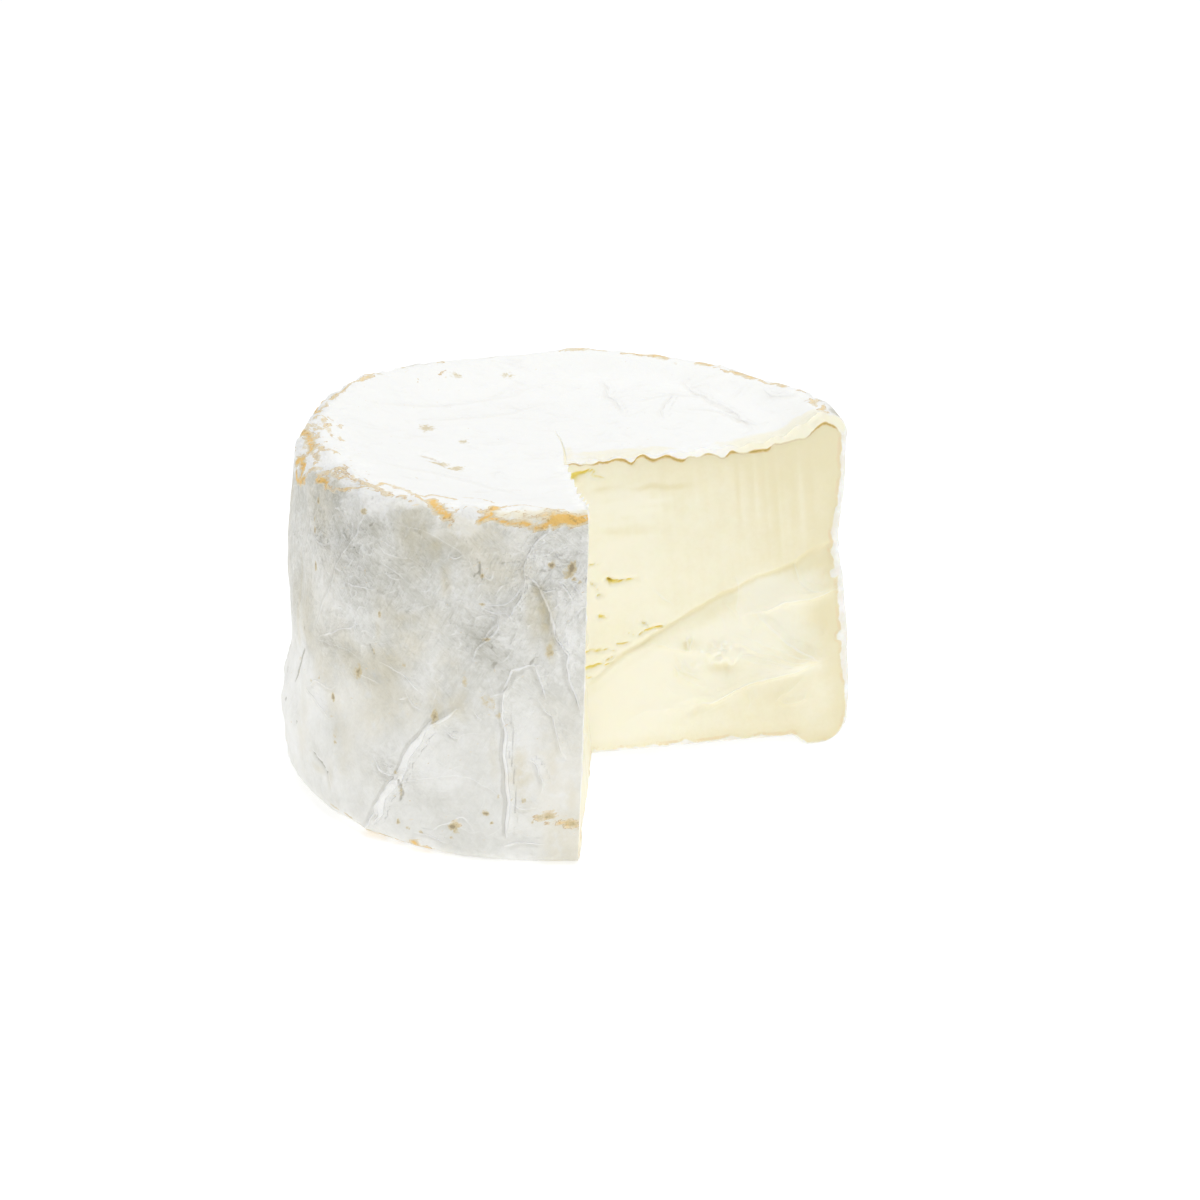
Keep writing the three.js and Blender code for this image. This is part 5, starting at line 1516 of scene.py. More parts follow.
# Where the side is greyer or whiter than around: azimuth, height, half width, half height, change.
WHITE_SPOTS = [
    (211.0, 54.0, 8.0, 10.0, 0.27), (219.0, 66.0, 6.0, 3.0, 0.04), (246.0, 56.0, 4.0, 8.0, 0.08),
    (267.0, 61.0, 7.0, 7.0, 0.2), (250.5, 58.0, 4.0, 5.0, 0.04), (233.0, 25.0, 8.0, 6.0, 0.12),
    (246.5, 22.0, 6.0, 6.0, 0.1), (262.0, 29.0, 3.5, 6.0, 0.14), (217.0, 47.0, 6.0, 6.0, 0.1),
    (257.0, 52.0, 3.0, 3.0, 0.15), (259.0, 46.0, 2.5, 4.0, 0.2), (209.0, 26.0, 5.0, 4.0, 0.15),
    (232.0, 59.9, 3.0, 3.0, 0.1), (230.1, 68.8, 4.4, 2.4, 0.7), (250.3, 69.0, 2.8, 2.4, 0.9),
    (221.5, 67.0, 2.4, 1.8, 0.5), (209.3, 63.5, 3.4, 2.6, -0.1), (219.4, 61.7, 2.6, 2.4, -0.04),
    (228.8, 65.4, 3.0, 2.0, -0.1), (257.0, 59.0, 2.5, 5.0, -0.08), (244.5, 66.8, 2.4, 1.8, 0.4),
    (271.0, 46.0, 3.0, 6.0, 0.12), (269.0, 25.0, 3.0, 6.0, 0.1), (268.0, 41.0, 8.0, 9.0, 0.1),
    (264.6, 55.5, 1.7, 3.4, -0.34), (266.2, 50.5, 1.5, 3.6, -0.3), (217.0, 57.0, 9.0, 9.0, 0.13),
    (267.0, 13.0, 8.0, 9.0, 0.16),
]
# Cream patches of the top, where the mould is thin: x, y, half length, half width, direction, strength.
CREAM_PATCHES = [
    (10.0, -5.0, 9.5, 4.0, 17, 0.8), (17.0, -2.4, 6.0, 2.6, 17, 0.7), (43.5, 4.2, 13.5, 3.8, 19, 0.95),
    (49.5, 7.4, 5.0, 2.8, 34, 0.8),
]
# Tan spots of the top: x, y, half length, half depth, strength.
TOP_SPOTS = [
    (-29.0, 10.5, 1.6, 2.2, 0.65), (-21.3, 1.8, 1.5, 2.0, 0.6), (-33.3, 50.5, 1.6, 2.2, 0.75),
    (-27.8, 47.8, 1.4, 1.8, 0.85), (-26.0, -12.6, 2.4, 1.3, 0.7), (-22.5, -14.6, 2.4, 1.0, 0.6),
    (26.0, 48.0, 1.4, 0.8, 0.4), (46.5, 28.0, 1.3, 0.7, 0.4), (-10.0, -30.0, 1.5, 0.8, 0.3),
    (-13.0, 44.0, 1.4, 1.2, 0.5), (-40.0, 34.0, 1.6, 1.3, 0.6), (39.0, 41.0, 1.3, 0.7, 0.5),
    (12.0, 12.0, 1.2, 0.7, 0.3), (-24.0, 41.0, 1.6, 1.2, 0.55), (-35.0, 40.0, 1.3, 1.4, 0.5),
]


Skin = namedtuple("Skin", "points x y z azimuth rim rough side top")


def strongest_spot(skin, spots):
    """The strongest of some ragged spots of the side at each point."""
    ragged = 1 + 0.45 * lumps(skin.points, 1.8, 121)
    strongest = np.zeros(len(skin.z))
    for centre, height, half_width, half_height, strength in spots:
        across = around_side(turn(centre, skin.azimuth)) / half_width
        mark = strength * oval(across, (skin.z - height) / half_height, ragged)
        strongest = np.maximum(strongest, mark)
    return strongest * skin.side


def crust_share(skin):
    """1 on the top and the crust, 0 on the side below their ragged border."""
    border = skin.rim - CRUST_DROP_LEFT * hump(turn(183, skin.azimuth), 26)
    border = border + layered(skin.points, [(2.0, 3.4, 135), (1.0, 1.6, 136)])
    return 1 - smooth_step(0.6, 3.8, border)


def side_white_with_painted_light(skin):
    """How white the side is: the mould's own grey and white, whiter at the upper right, with painted light
    over it that makes it whiter towards the bottom and towards the left.
    """
    # painted light: whiter towards the bottom, where the floor lights the side, and towards the left, where
    # light falls from that side
    lower = smooth_step(66, 6, skin.z)
    left = smooth_step(232, 190, skin.azimuth) * (skin.azimuth > 120)
    right = within(245, 262, 280, 330, skin.azimuth) * smooth_step(40, 60, skin.z)
    white_and_painted_light = 0.2 + 0.4 * lower + 0.1 * left + 0.2 * right
    white_and_painted_light = white_and_painted_light + layered(skin.points, [(0.14, 9, 131), (0.1, 4.2, 132)])
    for centre, height, half_width, half_height, change in WHITE_SPOTS:
        across = around_side(turn(centre, skin.azimuth)) / half_width
        white_and_painted_light = white_and_painted_light + change * oval(across, (skin.z - height) / half_height)
    return white_and_painted_light


def coarse_relief(skin):
    """Where the materials make the side coarse: its upper part, and where it is rough."""
    upper = smooth_step(18, 58, skin.z + 4 * lumps(skin.points, 12, 137))
    crumpled = 0.6 * hump(turn(221, skin.azimuth), 12) * hump(skin.z - 58, 10)
    coarse = np.clip(upper + crumpled + 0.4 * skin.rough, 0, 1.7)
    return skin.side * smooth_step(-1, 2, skin.rim) * coarse


def crust_ochre(skin):
    """How ochre the crust is: streaks all along the rim, and the strokes and spots that show."""
    sheet = np.stack([around_side(skin.azimuth), skin.rim, skin.z * 0], axis=1)
    streaks = lumps(sheet, (3.4, 1.3, 1), 141) + 0.8 * lumps(sheet, (1.6, 0.75, 1), 142)
    patches = lumps(sheet, (11, 5, 1), 143)
    wide = hump(turn(189, skin.azimuth), 22)
    behind = within(2, 16, 85, 98, skin.azimuth)
    plain = within(85, 98, 140, 158, skin.azimuth)
    centre = 0.8 + 2.4 * wide - 1.0 * behind
    half = 1.5 + 4.2 * wide - 0.5 * behind
    band = hump(skin.rim - centre, half) * (0.62 + 0.3 * wide + 0.5 * behind - 0.35 * plain)
    ochre = band * smooth_step(-0.25, 0.8, streaks + 0.5 * patches + 0.25 * wide + 0.4 * behind)
    across, down = wander(sheet[:, 0], skin.rim, 151)
    for strength, width, places in RIM_STROKES:
        reach = reach_to_chain(across, down, smooth_chain(unrolled(places)), 3 * width)
        stroke = strength * hump(reach.distance, width)
        ochre[reach.near] = np.maximum(ochre[reach.near], stroke)
    ochre = np.maximum(ochre, strongest_spot(skin, ORANGE_SPOTS))
    return np.where(skin.side | skin.top, ochre, 0)


def blister_share(skin):
    """The cream blister on the rim beside the near cut."""
    beside_cut = within(252, 255, 300, 330, skin.azimuth)
    return (skin.side | skin.top) * beside_cut * hump(skin.rim - 1.2, 2.1)


def top_marks(skin):
    """Where the top is cream, and where it has tan spots."""
    cream = np.zeros(len(skin.z))
    brown = np.zeros(len(skin.z))
    ragged = 1 + layered(skin.points, [(0.3, 5, 122), (0.15, 1.8, 123)])
    for centre_x, centre_y, length, width, direction, strength in CREAM_PATCHES:
        cosine = math.cos(direction * DEGREE)
        sine = math.sin(direction * DEGREE)
        ahead = (skin.x - centre_x) * cosine + (skin.y - centre_y) * sine
        aside = (skin.y - centre_y) * cosine - (skin.x - centre_x) * sine
        off = np.hypot(ahead / length, aside / width)
        cream = np.maximum(cream, strength * smooth_step(1.45, 0.55, off * ragged))
    along, aside = slit_place(skin.x, skin.y)
    lip = hump(aside - 0.9, 0.9) * within(-1, 1, 6, 16, along)
    cream = np.maximum(cream, np.maximum(slit_opening(skin.x, skin.y), 0.8 * lip))
    for centre_x, centre_y, length, depth, strength in TOP_SPOTS:
        off = np.hypot((skin.x - centre_x) / length, (skin.y - centre_y) / depth)
        brown = np.maximum(brown, strength * hump(off * ragged, 1))
    return cream * skin.top, brown * skin.top


def paint_skin(points, facts, found):
    """What the rind's material needs to know at each point."""
    side = facts["region"] == SIDE
    top = facts["region"] == TOP
    skin = Skin(points, *points.T, facts["azimuth"], facts["rim"], found["rough"], side, top)
    onto_top = crust_share(skin)
    white_and_painted_light = np.where(side | top, mix(side_white_with_painted_light(skin), 1.0, onto_top), 0.75)
    tint = 0.08 + 0.5 * smooth_step(-0.1, 0.8, layered(points, [(1, 15, 133), (0.5, 6, 134)]))
    blister = blister_share(skin)
    cream, brown = top_marks(skin)
    paint = {name: np.zeros(len(points)) for name in FACE_PAINT}
    paint |= {
        "edge": np.full(len(points), SKIN_EDGE),
        "white_and_painted_light": np.clip(white_and_painted_light - 0.15 * skin.rough, 0, 1),
        "ochre": crust_ochre(skin) + 0.25 * blister,
        "brown": np.maximum(brown, strongest_spot(skin, BROWN_SPOTS)),
        "beige": np.maximum(tint, strongest_spot(skin, BEIGE_SPOTS)) * side * (1 - onto_top),
        "cream": np.maximum(cream, 0.8 * blister),
        "pit_shade_mask": found["pit_shade_mask"],
        "rough": skin.rough,
        "coarse": coarse_relief(skin),
        "sheet_u": around_side(skin.azimuth),
        "sheet_v": -skin.rim,
        "side_share": side * smooth_step(-1, 3, skin.rim),
    }
    return paint


def make_mesh(name, points, triangles, paste, paint, scale):
    mesh = bpy.data.meshes.new(name)
    mesh.vertices.add(len(points))
    mesh.vertices.foreach_set("co", (points * scale).astype(np.float32).ravel())
    mesh.loops.add(3 * len(triangles))
    mesh.loops.foreach_set("vertex_index", triangles.astype(np.int32).ravel())
    mesh.polygons.add(len(triangles))
    mesh.polygons.foreach_set("loop_start", np.arange(0, 3 * len(triangles), 3, dtype=np.int32))
    mesh.polygons.foreach_set("material_index", paste.astype(np.int32))
    mesh.polygons.foreach_set("use_smooth", np.ones(len(triangles), bool))
    for layer, values in paint.items():
        attribute = mesh.attributes.new(layer, "FLOAT", "POINT")
        attribute.data.foreach_set("value", values.astype(np.float32))
    mesh.update(calc_edges=True)
    mesh.validate()
    mesh.set_sharp_from_angle(angle=SHARP_ANGLE * DEGREE)
    return mesh


# ---- Materials ----
def paint_colour(red, green, blue):
    """A colour given as it shows on a screen, from 0 to 255, as the renderer wants it."""
    shares = [value / 255 for value in (red, green, blue)]
    linear = [s / 12.92 if s <= 0.04045 else ((s + 0.055) / 1.055) ** 2.4 for s in shares]
    return (*linear, 1.0)


class Graph:
    """Short ways to add and join the shader nodes of one material."""

    def __init__(self, name):
        self.material = bpy.data.materials.new(name)
        self.material.use_nodes = True
        self.nodes = self.material.node_tree.nodes
        self.links = self.material.node_tree.links
        self.shader = self.nodes["Principled BSDF"]
        self.coordinates = self.nodes.new("ShaderNodeTexCoord").outputs["Object"]

    def plug(self, value, socket):
        if isinstance(value, bpy.types.NodeSocket):
            self.links.new(value, socket)
        else:
            socket.default_value = value

    def painted(self, name):
        node = self.nodes.new("ShaderNodeAttribute")
        node.attribute_name = name
        return node.outputs["Fac"]

    def noise(self, size, detail=3.0, stretch=(1, 1, 1), shift=0.0, distortion=0.0, rough=0.55):
        """Noise from 0 to 1 whose lumps are `size` millimetres across."""
        return self.noise_over(self.coordinates, [1000 / (size * s) for s in stretch],
                               detail, shift, distortion, rough)

    def noise_over(self, coordinates, scales, detail, shift, distortion=0.0, rough=0.55, turned=0.0):
        mapping = self.nodes.new("ShaderNodeMapping")
        mapping.vector_type = "POINT"
        mapping.inputs["Scale"].default_value = scales
        mapping.inputs["Location"].default_value = (shift, shift, shift)
        self.links.new(self.rotated(coordinates, turned), mapping.inputs["Vector"])
        node = self.nodes.new("ShaderNodeTexNoise")
        node.inputs["Scale"].default_value = 1.0
        node.inputs["Detail"].default_value = detail
        node.inputs["Roughness"].default_value = rough
        node.inputs["Distortion"].default_value = distortion
        self.links.new(mapping.outputs["Vector"], node.inputs["Vector"])
        return node.outputs["Fac"]

    def rotated(self, coordinates, degrees):
        if not degrees:
            return coordinates
        mapping = self.nodes.new("ShaderNodeMapping")
        mapping.inputs["Rotation"].default_value = (0, 0, degrees * DEGREE)
        self.links.new(coordinates, mapping.inputs["Vector"])
        return mapping.outputs["Vector"]

    def sheet(self):
        """The skin rolled out flat, in millimetres: around the wheel and up."""
        node = self.nodes.new("ShaderNodeCombineXYZ")
        self.links.new(self.painted("sheet_u"), node.inputs["X"])
        self.links.new(self.painted("sheet_v"), node.inputs["Y"])
        return node.outputs["Vector"]

    def fibres(self, width, length, angle, shift):
        """Fine threads that run at an angle over the rolled-out skin, from 0 to 1."""
        scales = (1 / length, 1 / width, 1)
        noise = self.noise_over(self.sheet(), scales, 2.5, shift, 0.35, 0.6, -angle)
        return self.ridged(noise)

    def ridged(self, noise, sharpness=6.0):
        """1 along the lines where a noise crosses its middle value, falling off to both sides."""
        off = self.size_of(self.add(noise, -0.5))
        return self.math("SUBTRACT", 1.0, self.times(off, sharpness), clamp=True)

    def lines(self):
        """Ridges along the thin painted lines, and the grooves on their shaded side, which broad ones lack;
        both bump the surface, and the materials also paint the ridges lighter, partly as painted highlight,
        and the grooves darker as painted shade.
        """
        ridges_and_painted_highlight = 0.0
        grooves_and_painted_shade = 0.0
        for number in range(LINE_CHANNELS):
            side = self.painted(f"side_{number}")
            strength = self.painted(f"line_{number}")
            half = self.growing(0.14, 0.2, strength)
            off = self.math("DIVIDE", self.size_of(side), half)
            ridge = self.times(self.step(off, 1.0, 0.3), strength)
            beside = self.math("SUBTRACT", side, self.add(half, 0.35))
            groove = self.times(self.step(self.size_of(beside), 0.8, 0.0), strength)
            groove = self.times(groove, self.step(strength, 1.9, 1.2))
            ridges_and_painted_highlight = self.add(ridges_and_painted_highlight, ridge)
            grooves_and_painted_shade = self.add(grooves_and_painted_shade, groove)
        return ridges_and_painted_highlight, grooves_and_painted_shade

    def math(self, operation, a, b=0.0, clamp=False):
        node = self.nodes.new("ShaderNodeMath")
        node.operation = operation
        node.use_clamp = clamp
        self.plug(a, node.inputs[0])
        self.plug(b, node.inputs[1])
        return node.outputs[0]

    def add(self, a, b):
        return self.math("ADD", a, b)

    def smaller(self, a, b):
        return self.math("MINIMUM", a, b)

    def size_of(self, value):
        return self.math("ABSOLUTE", value)

    def growing(self, start, slope, value):
        return self.add(self.times(value, slope), start)

    def swayed(self, value, *sways):
        """A value pushed up and down by noises, each with how far its ends lie apart."""
        for noise, amount in sways:
            value = self.add(value, self.times(self.add(noise, -0.5), amount))
        return value

    def times(self, a, b, clamp=False):
        return self.math("MULTIPLY", a, b, clamp)

    def step(self, value, start, end):
        """0 below start, 1 above end, smooth between; or the other way round."""
        node = self.nodes.new("ShaderNodeMapRange")
        node.interpolation_type = "SMOOTHSTEP"
        rising = end > start
        node.inputs["From Min"].default_value = min(start, end)
        node.inputs["From Max"].default_value = max(start, end)
        node.inputs["To Min"].default_value = 0.0 if rising else 1.0
        node.inputs["To Max"].default_value = 1.0 if rising else 0.0
        self.plug(value, node.inputs["Value"])
        return node.outputs["Result"]

    def blend(self, share, a, b):
        node = self.nodes.new("ShaderNodeMix")
        node.data_type = "RGBA"
        self.plug(share, node.inputs[0])
        self.plug(a, node.inputs[6])
        self.plug(b, node.inputs[7])
        return node.outputs[2]

    def coated(self, colour, coats):
        """A colour with coats over it, each given as its share and its colour."""
        for share, coat in coats:
            colour = self.blend(share, colour, coat)
        return colour

    def finished(self, colour, bumps, inputs):
        """Gives the material its colour, its plain inputs, and bumps over one another.

        A bump is given as its height, what a height of 1 rises by in millimetres, and its strength.
        """
        self.plug(colour, self.shader.inputs["Base Color"])
        for name, value in inputs.items():
            self.shader.inputs[name].default_value = value
        into = self.shader.inputs["Normal"]
        for height, distance, strength in reversed(bumps):
            node = self.nodes.new("ShaderNodeBump")
            node.inputs["Distance"].default_value = distance * MM
            self.plug(strength, node.inputs["Strength"])
            self.plug(height, node.inputs["Height"])
            self.links.new(node.outputs["Normal"], into)
            into = node.inputs["Normal"]
        return self.material


GREY_RIND = paint_colour(205, 204, 194)
WHITE_RIND = paint_colour(254, 254, 251)
BEIGE_RIND = paint_colour(238, 231, 210)
DEEP_BEIGE = paint_colour(206, 196, 162)
CREAM_RIND = paint_colour(252, 247, 225)
DEEP_CREAM = paint_colour(246, 231, 190)
OCHRE_CRUST = paint_colour(241, 218, 170)
TAN_CRUST = paint_colour(226, 210, 178)
PALE_OCHRE = paint_colour(246, 238, 218)
HOT_OCHRE = paint_colour(246, 200, 108)
DARK_OCHRE = paint_colour(188, 146, 80)
SPOT_RING = paint_colour(218, 202, 160)
BROWN_SPOT = paint_colour(166, 146, 108)
PIT_SHADE = paint_colour(150, 144, 126)
# tan for the painted shade in the top's pits and grooves, and for the core of the top's spots
TAN_SHADE_AND_SPOT = paint_colour(216, 202, 180)
PALE_PASTE = paint_colour(254, 249, 229)
BRIGHT_PASTE = paint_colour(255, 252, 238)
DEEP_PASTE = paint_colour(239, 230, 194)
MUSTARD = paint_colour(246, 226, 108)
PEACH_LINE = paint_colour(240, 222, 186)
EDGE_RIND = paint_colour(245, 242, 232)
LINE_OCHRE = paint_colour(228, 200, 132)
LINE_BROWN = paint_colour(196, 164, 74)


RIND_INPUTS = {
    "Roughness": 0.85,
    "Specular IOR Level": 0.25,
    "Subsurface Weight": 0.12,
    "Subsurface Radius": (1.0, 0.9, 0.7),
    "Subsurface Scale": 0.0005,
    "Sheen Weight": 0.12,
    "Sheen Roughness": 0.6,
}
PASTE_INPUTS = {
    "Roughness": 0.45,
    "Specular IOR Level": 0.35,
    "Subsurface Weight": 0.3,
    "Subsurface Radius": (1.0, 0.8, 0.45),
    "Subsurface Scale": 0.0012,
}


def with_crust(g, colour, fuzz, grain):
    """A colour with the flaky ochre crust over it."""
    flakes = g.noise_over(g.sheet(), (1 / 2.4, 1 / 0.7, 1), 4, 2.9, 0.4, 0.6, -24)
    broken = g.swayed(g.painted("ochre"), (fuzz, 0.8), (flakes, 2.0))
    hue = g.noise(2.2, detail=3, shift=12.6)
    # the edge of each ochre flake is darker brown: partly the flake's own brown rim, partly painted shade
    # under its edge
    flake_edge_and_painted_shade = g.times(g.step(g.size_of(g.add(broken, -0.54)), 0.13, 0.0), g.step(hue, 0.44, 0.56))
    dark_flecks = g.times(g.step(broken, 0.8, 1.1), g.step(g.swayed(grain, (fuzz, 0.6)), 0.56, 0.66))
    pale_flecks = g.times(g.step(hue, 0.47, 0.36), g.step(fuzz, 0.44, 0.56))
    crust = g.coated(TAN_CRUST, [
        (g.step(hue, 0.42, 0.58), OCHRE_CRUST),
        (g.times(g.step(broken, 0.9, 0.6), 0.7), PALE_OCHRE),
        (g.step(broken, 0.9, 1.4), HOT_OCHRE),
        (g.times(flake_edge_and_painted_shade, 0.75), DARK_OCHRE),
        (g.times(dark_flecks, 0.6), DARK_OCHRE),
        (g.times(pale_flecks, 0.7), PALE_OCHRE),
    ])
    return g.blend(g.times(g.step(broken, 0.36, 0.56), 0.93), colour, crust)


def make_rind():
    g = Graph("white_mould_rind")
    fuzz = g.noise(0.9, detail=6, rough=0.65)
    grain = g.noise(2.4, detail=5, shift=3.1, rough=0.6)
    clouds = g.noise(7.5, detail=5, shift=5.7, rough=0.6)
    hairs = g.noise(1.7, detail=5, stretch=(1.4, 1.4, 0.6), shift=8.3, distortion=0.8)
    side = g.painted("side_share")
    coarse = g.painted("coarse")
    fibres = g.times(g.fibres(0.55, 5.0, 62, 1.7), g.step(clouds, 0.35, 0.6))
    fibres = g.add(fibres, g.times(g.fibres(0.6, 4.0, -38, 4.9), g.step(clouds, 0.6, 0.4)))
    fibres = g.times(fibres, g.growing(0.2, 0.8, side))
    veins = g.times(g.ridged(g.noise(5.0, detail=6, shift=9.4, distortion=0.6, rough=0.62), 14.0), side)
    creases_and_painted_shade = g.ridged(g.noise(4.6, detail=3, shift=7.7, distortion=0.9, rough=0.5), 11.0)
    creases_and_painted_shade = g.times(creases_and_painted_shade, g.step(clouds, 0.45, 0.6))
    ridges_and_painted_highlight, grooves_and_painted_shade = g.lines()

    white_and_painted_light = g.swayed(g.painted("white_and_painted_light"), (clouds, 0.6))
    for part, share in (
        (g.swayed(0.0, (grain, 0.8), (fuzz, 0.7)), g.growing(0.34, 0.42, coarse)),
        (g.add(fibres, -0.25), g.growing(0.05, 0.12, coarse)),
        (veins, g.growing(0.05, 0.1, coarse)),
        # painted shade: the side is made a little greyer along the noise creases, which are also sunk by a
        # bump
        (creases_and_painted_shade, g.times(coarse, -0.1)),
        # the lines' ridges are made whiter: partly the thicker mould on the crests, partly painted highlight
        (ridges_and_painted_highlight, 0.75),
    ):
        white_and_painted_light = g.add(white_and_painted_light, g.times(part, share))
    beige = g.times(g.painted("beige"), g.step(grain, 0.15, 0.55))
    cream = g.step(g.swayed(g.painted("cream"), (grain, 1.1)), 0.2, 0.95)
    # dark specks over the rough stretches, in the shade colour: partly the rough mould's darker specks,
    # partly painted shade among its hairs
    rough = g.times(g.painted("rough"), g.step(hairs, 0.45, 0.72))
    pit_shade_mask = g.step(g.swayed(g.painted("pit_shade_mask"), (fuzz, 1.0)), 0.35, 0.95)
    # painted shade: the pits and the grooves on the shaded side of the lines are darkened, tan on the top
    # and grey on the side
    shade = g.math("MAXIMUM", g.times(pit_shade_mask, 0.6), g.smaller(g.times(grooves_and_painted_shade, 0.22), 0.24))
    colour = g.coated(GREY_RIND, [
        (g.step(white_and_painted_light, -0.08, 1.0), WHITE_RIND),
        (g.times(beige, 0.9), g.blend(white_and_painted_light, DEEP_BEIGE, BEIGE_RIND)),
        (g.times(cream, 0.85), g.blend(side, CREAM_RIND, DEEP_CREAM)),
        (g.times(rough, 0.42), PIT_SHADE),
        (shade, g.blend(side, TAN_SHADE_AND_SPOT, PIT_SHADE)),
    ])
    colour = with_crust(g, colour, fuzz, grain)
    spots = g.swayed(g.painted("brown"), (fuzz, 1.3))
    spot_colour = g.blend(g.step(spots, 0.5, 0.9), SPOT_RING, g.blend(side, TAN_SHADE_AND_SPOT, BROWN_SPOT))
    colour = g.blend(g.times(g.step(spots, 0.22, 0.6), 0.85), colour, spot_colour)

    bumps = [
        (g.add(g.smaller(ridges_and_painted_highlight, 1.0), g.times(g.smaller(grooves_and_painted_shade, 1.0), -0.3)), 0.16, 1.0),
        (g.times(creases_and_painted_shade, -1.0), 0.16, g.times(coarse, 0.8)),
        (grain, 0.9, g.growing(0.2, 0.5, coarse)),
        (g.times(g.add(fibres, veins), 0.5), 0.12, g.growing(0.2, 0.75, coarse)),
        (hairs, 0.5, g.growing(0.05, 0.7, g.painted("rough"))),
        (fuzz, 0.36, g.growing(0.24, 0.5, coarse)),
    ]
    return g.finished(colour, bumps, RIND_INPUTS)


def make_paste():
    g = Graph("cream_paste")
    grain = g.noise(0.8, detail=5, rough=0.6)
    mottle = g.noise(3.6, detail=4, shift=2.3)
    wide = g.noise(14, detail=3, shift=6.1)
    edge = g.painted("edge")
    ragged_edge = g.swayed(edge, (grain, 0.45))
    off_line = g.size_of(g.add(ragged_edge, -0.05))
    ridges_and_painted_highlight, grooves_and_painted_shade = g.lines()

    tone = g.swayed(g.painted("tone"), (mottle, 0.5), (wide, 0.5), (grain, 0.35))
    # painted shade: the paste is deeper on the shaded side of the smears' and hairs' thin lines
    tone = g.add(tone, g.times(grooves_and_painted_shade, 0.25))
    outer_rind = g.times(g.step(g.painted("ochre_line"), 0.2, 0.05), g.step(mottle, 0.35, 0.6))
    rind_colour = g.blend(outer_rind, WHITE_RIND, EDGE_RIND)
    rind_colour = g.blend(g.painted("cream"), rind_colour, CREAM_RIND)
    bright = g.step(g.swayed(g.painted("bright"), (grain, 0.9)), 0.3, 0.8)

    strength = g.swayed(g.painted("ochre_line"), (mottle, 0.8))
    strength = g.times(strength, g.step(edge, 3.0, 2.0))
    half = g.growing(0.17, 0.36, g.step(strength, 0.6, 1.2))
    off = g.math("DIVIDE", off_line, half)
    line = g.times(g.step(off, 1.2, 0.4), g.step(strength, 0.2, 0.7))
    line_colour = g.blend(g.step(g.add(off, g.times(grain, 0.6)), 0.9, 0.3), LINE_OCHRE, LINE_BROWN)
    line_colour = g.blend(g.step(strength, 0.6, 1.0), TAN_CRUST, line_colour)
    peach = g.swayed(g.painted("peach_line"), (grain, 1.8))
    peach = g.times(g.step(off_line, 0.5, 0.15), g.step(peach, 0.3, 0.9))
    crack = g.step(g.swayed(g.painted("crack"), (grain, 0.3)), 0.3, 0.9)
    colour = g.coated(PALE_PASTE, [
        (g.step(tone, -0.48, 1.05), DEEP_PASTE),
        # painted highlight: the crests of the thin lines are made brighter
        (g.times(ridges_and_painted_highlight, 0.75, clamp=True), BRIGHT_PASTE),
        (g.times(g.step(edge, 2.6, 0.3), 0.18), DEEP_PASTE),
        (g.times(bright, 0.85), BRIGHT_PASTE),
        (g.step(ragged_edge, -0.12, -0.42), rind_colour),
        (g.times(line, 0.92), line_colour),
        (g.times(peach, 0.7), PEACH_LINE),
        (g.times(crack, 0.9), MUSTARD),
    ])

    bumps = [
        (g.add(ridges_and_painted_highlight, g.times(grooves_and_painted_shade, -0.2)), 0.1, 1.0),
        (mottle, 0.1, 0.5),
        (grain, 0.07, 0.7),
    ]
    return g.finished(colour, bumps, PASTE_INPUTS)


# ---- Studio ----
# As fitted to the photo.
CAMERA_DISTANCE = 850.0
CAMERA_ELEVATION = 20.1
CAMERA_TARGET = (6.6, 0.0, 33.9)
CAMERA_LENS = 123.6


def look_along(thing, location, target):
    direction = Vector(target) - Vector(location)
    thing.location = location
    thing.rotation_euler = direction.to_track_quat("-Z", "Y").to_euler()


def make_camera():
    camera = bpy.data.objects.new("camera", bpy.data.cameras.new("camera"))
    camera.data.lens = CAMERA_LENS
    camera.data.sensor_width = 36
    target = Vector(CAMERA_TARGET) * MM
    angle = CAMERA_ELEVATION * DEGREE
    away = Vector((0, -math.cos(angle), math.sin(angle))) * CAMERA_DISTANCE * MM
    look_along(camera, target + away, target)
    bpy.context.scene.collection.objects.link(camera)
    bpy.context.scene.camera = camera


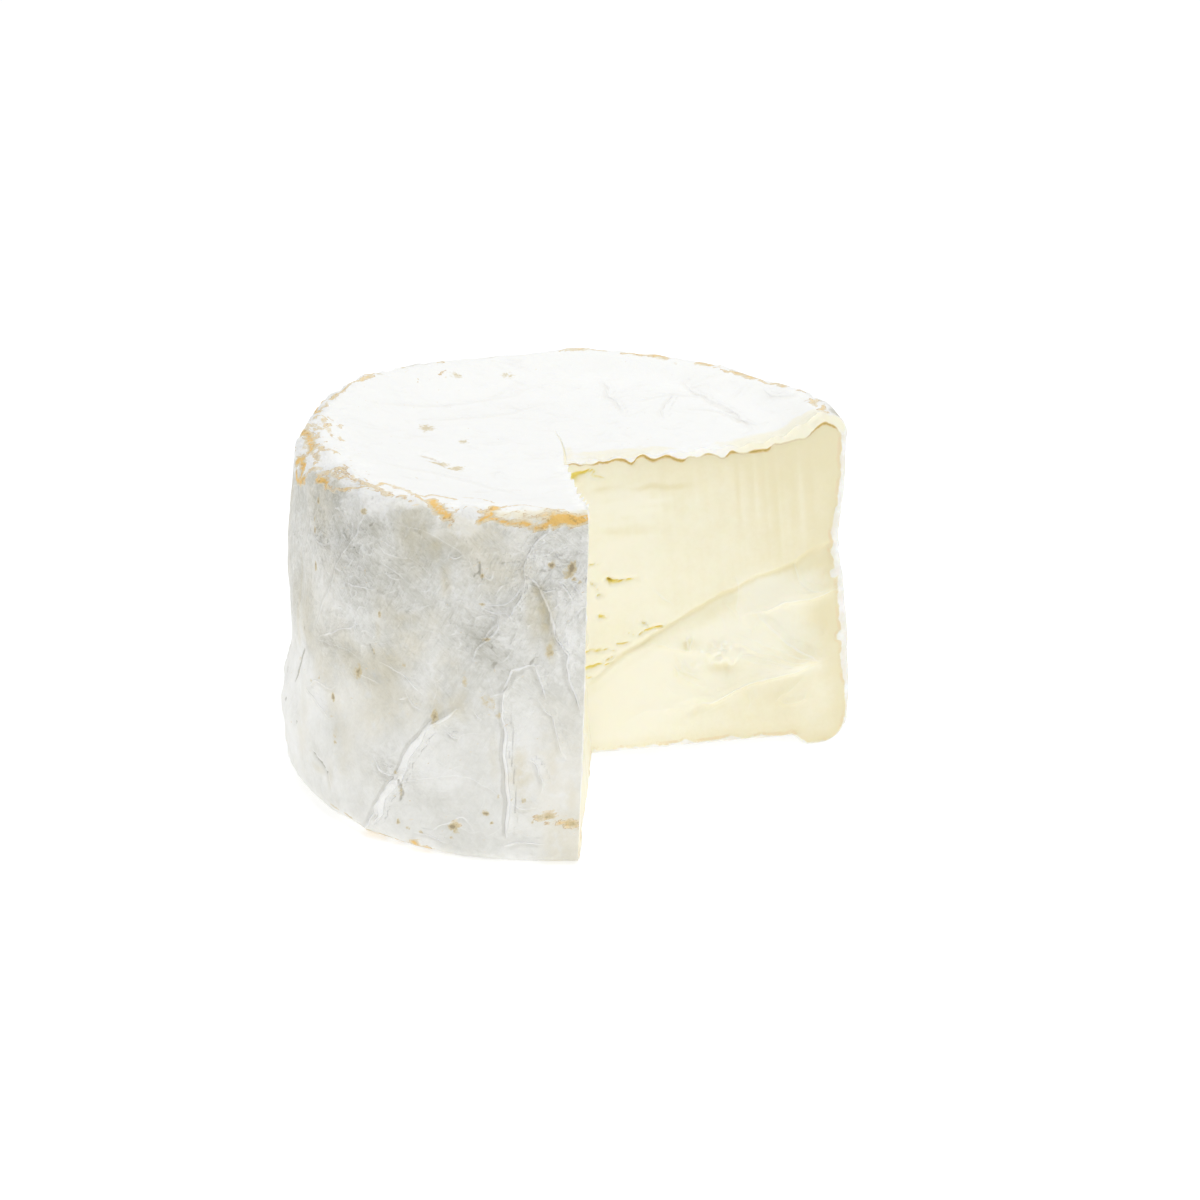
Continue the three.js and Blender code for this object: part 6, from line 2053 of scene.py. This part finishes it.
def make_softbox(name, location, size, power, colour=(1, 1, 1)):
    light = bpy.data.lights.new(name, "AREA")
    light.shape = "DISK"
    light.size = size
    light.energy = power
    light.color = colour
    box = bpy.data.objects.new(name, light)
    look_along(box, location, (0, 0, 0.03))
    bpy.context.scene.collection.objects.link(box)


def make_floor():
    size = 3.0
    mesh = bpy.data.meshes.new("floor")
    corners = [(-size, -size, 0), (size, -size, 0), (size, size, 0), (-size, size, 0)]
    mesh.from_pydata(corners, [], [(0, 1, 2, 3)])
    floor = bpy.data.objects.new("floor", mesh)
    floor.location.z = -0.02 * MM
    material = bpy.data.materials.new("white_table")
    material.use_nodes = True
    shader = material.node_tree.nodes["Principled BSDF"]
    shader.inputs["Base Color"].default_value = (0.8, 0.8, 0.8, 1)
    shader.inputs["Roughness"].default_value = 0.9
    shader.inputs["Emission Color"].default_value = (1, 1, 1, 1)
    shader.inputs["Emission Strength"].default_value = 0.4
    mesh.materials.append(material)
    bpy.context.scene.collection.objects.link(floor)


def make_studio():
    world = bpy.data.worlds.new("studio")
    world.use_nodes = True
    background = world.node_tree.nodes["Background"]
    background.inputs["Color"].default_value = (0.98, 0.99, 1.0, 1)
    background.inputs["Strength"].default_value = 0.5
    bpy.context.scene.world = world
    make_softbox("overhead", (0.1, 0.1, 1.3), 1.2, 7.5)
    make_softbox("right_front", (0.9, -0.9, 0.7), 0.7, 3.0)
    make_softbox("left", (-1.2, 0.1, 0.5), 0.8, 2.0)
    make_floor()
    bpy.context.scene.view_settings.view_transform = "Standard"


def main():
    low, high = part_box("cheese_wheel")
    scale = (high.x - low.x) / SOLID_WIDTH
    points, triangles, paste, paint = build_wheel()
    mesh = make_mesh("cheese_skin", points, triangles, paste, paint, scale)
    mesh.materials.append(make_rind())
    mesh.materials.append(make_paste())
    cheese = bpy.data.objects.new("cheese_skin", mesh)
    bpy.context.scene.collection.objects.link(cheese)
    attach(cheese, "root")
    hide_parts("cheese_wheel")
    make_camera()
    make_studio()
    print("triangles:", len(triangles))


main()
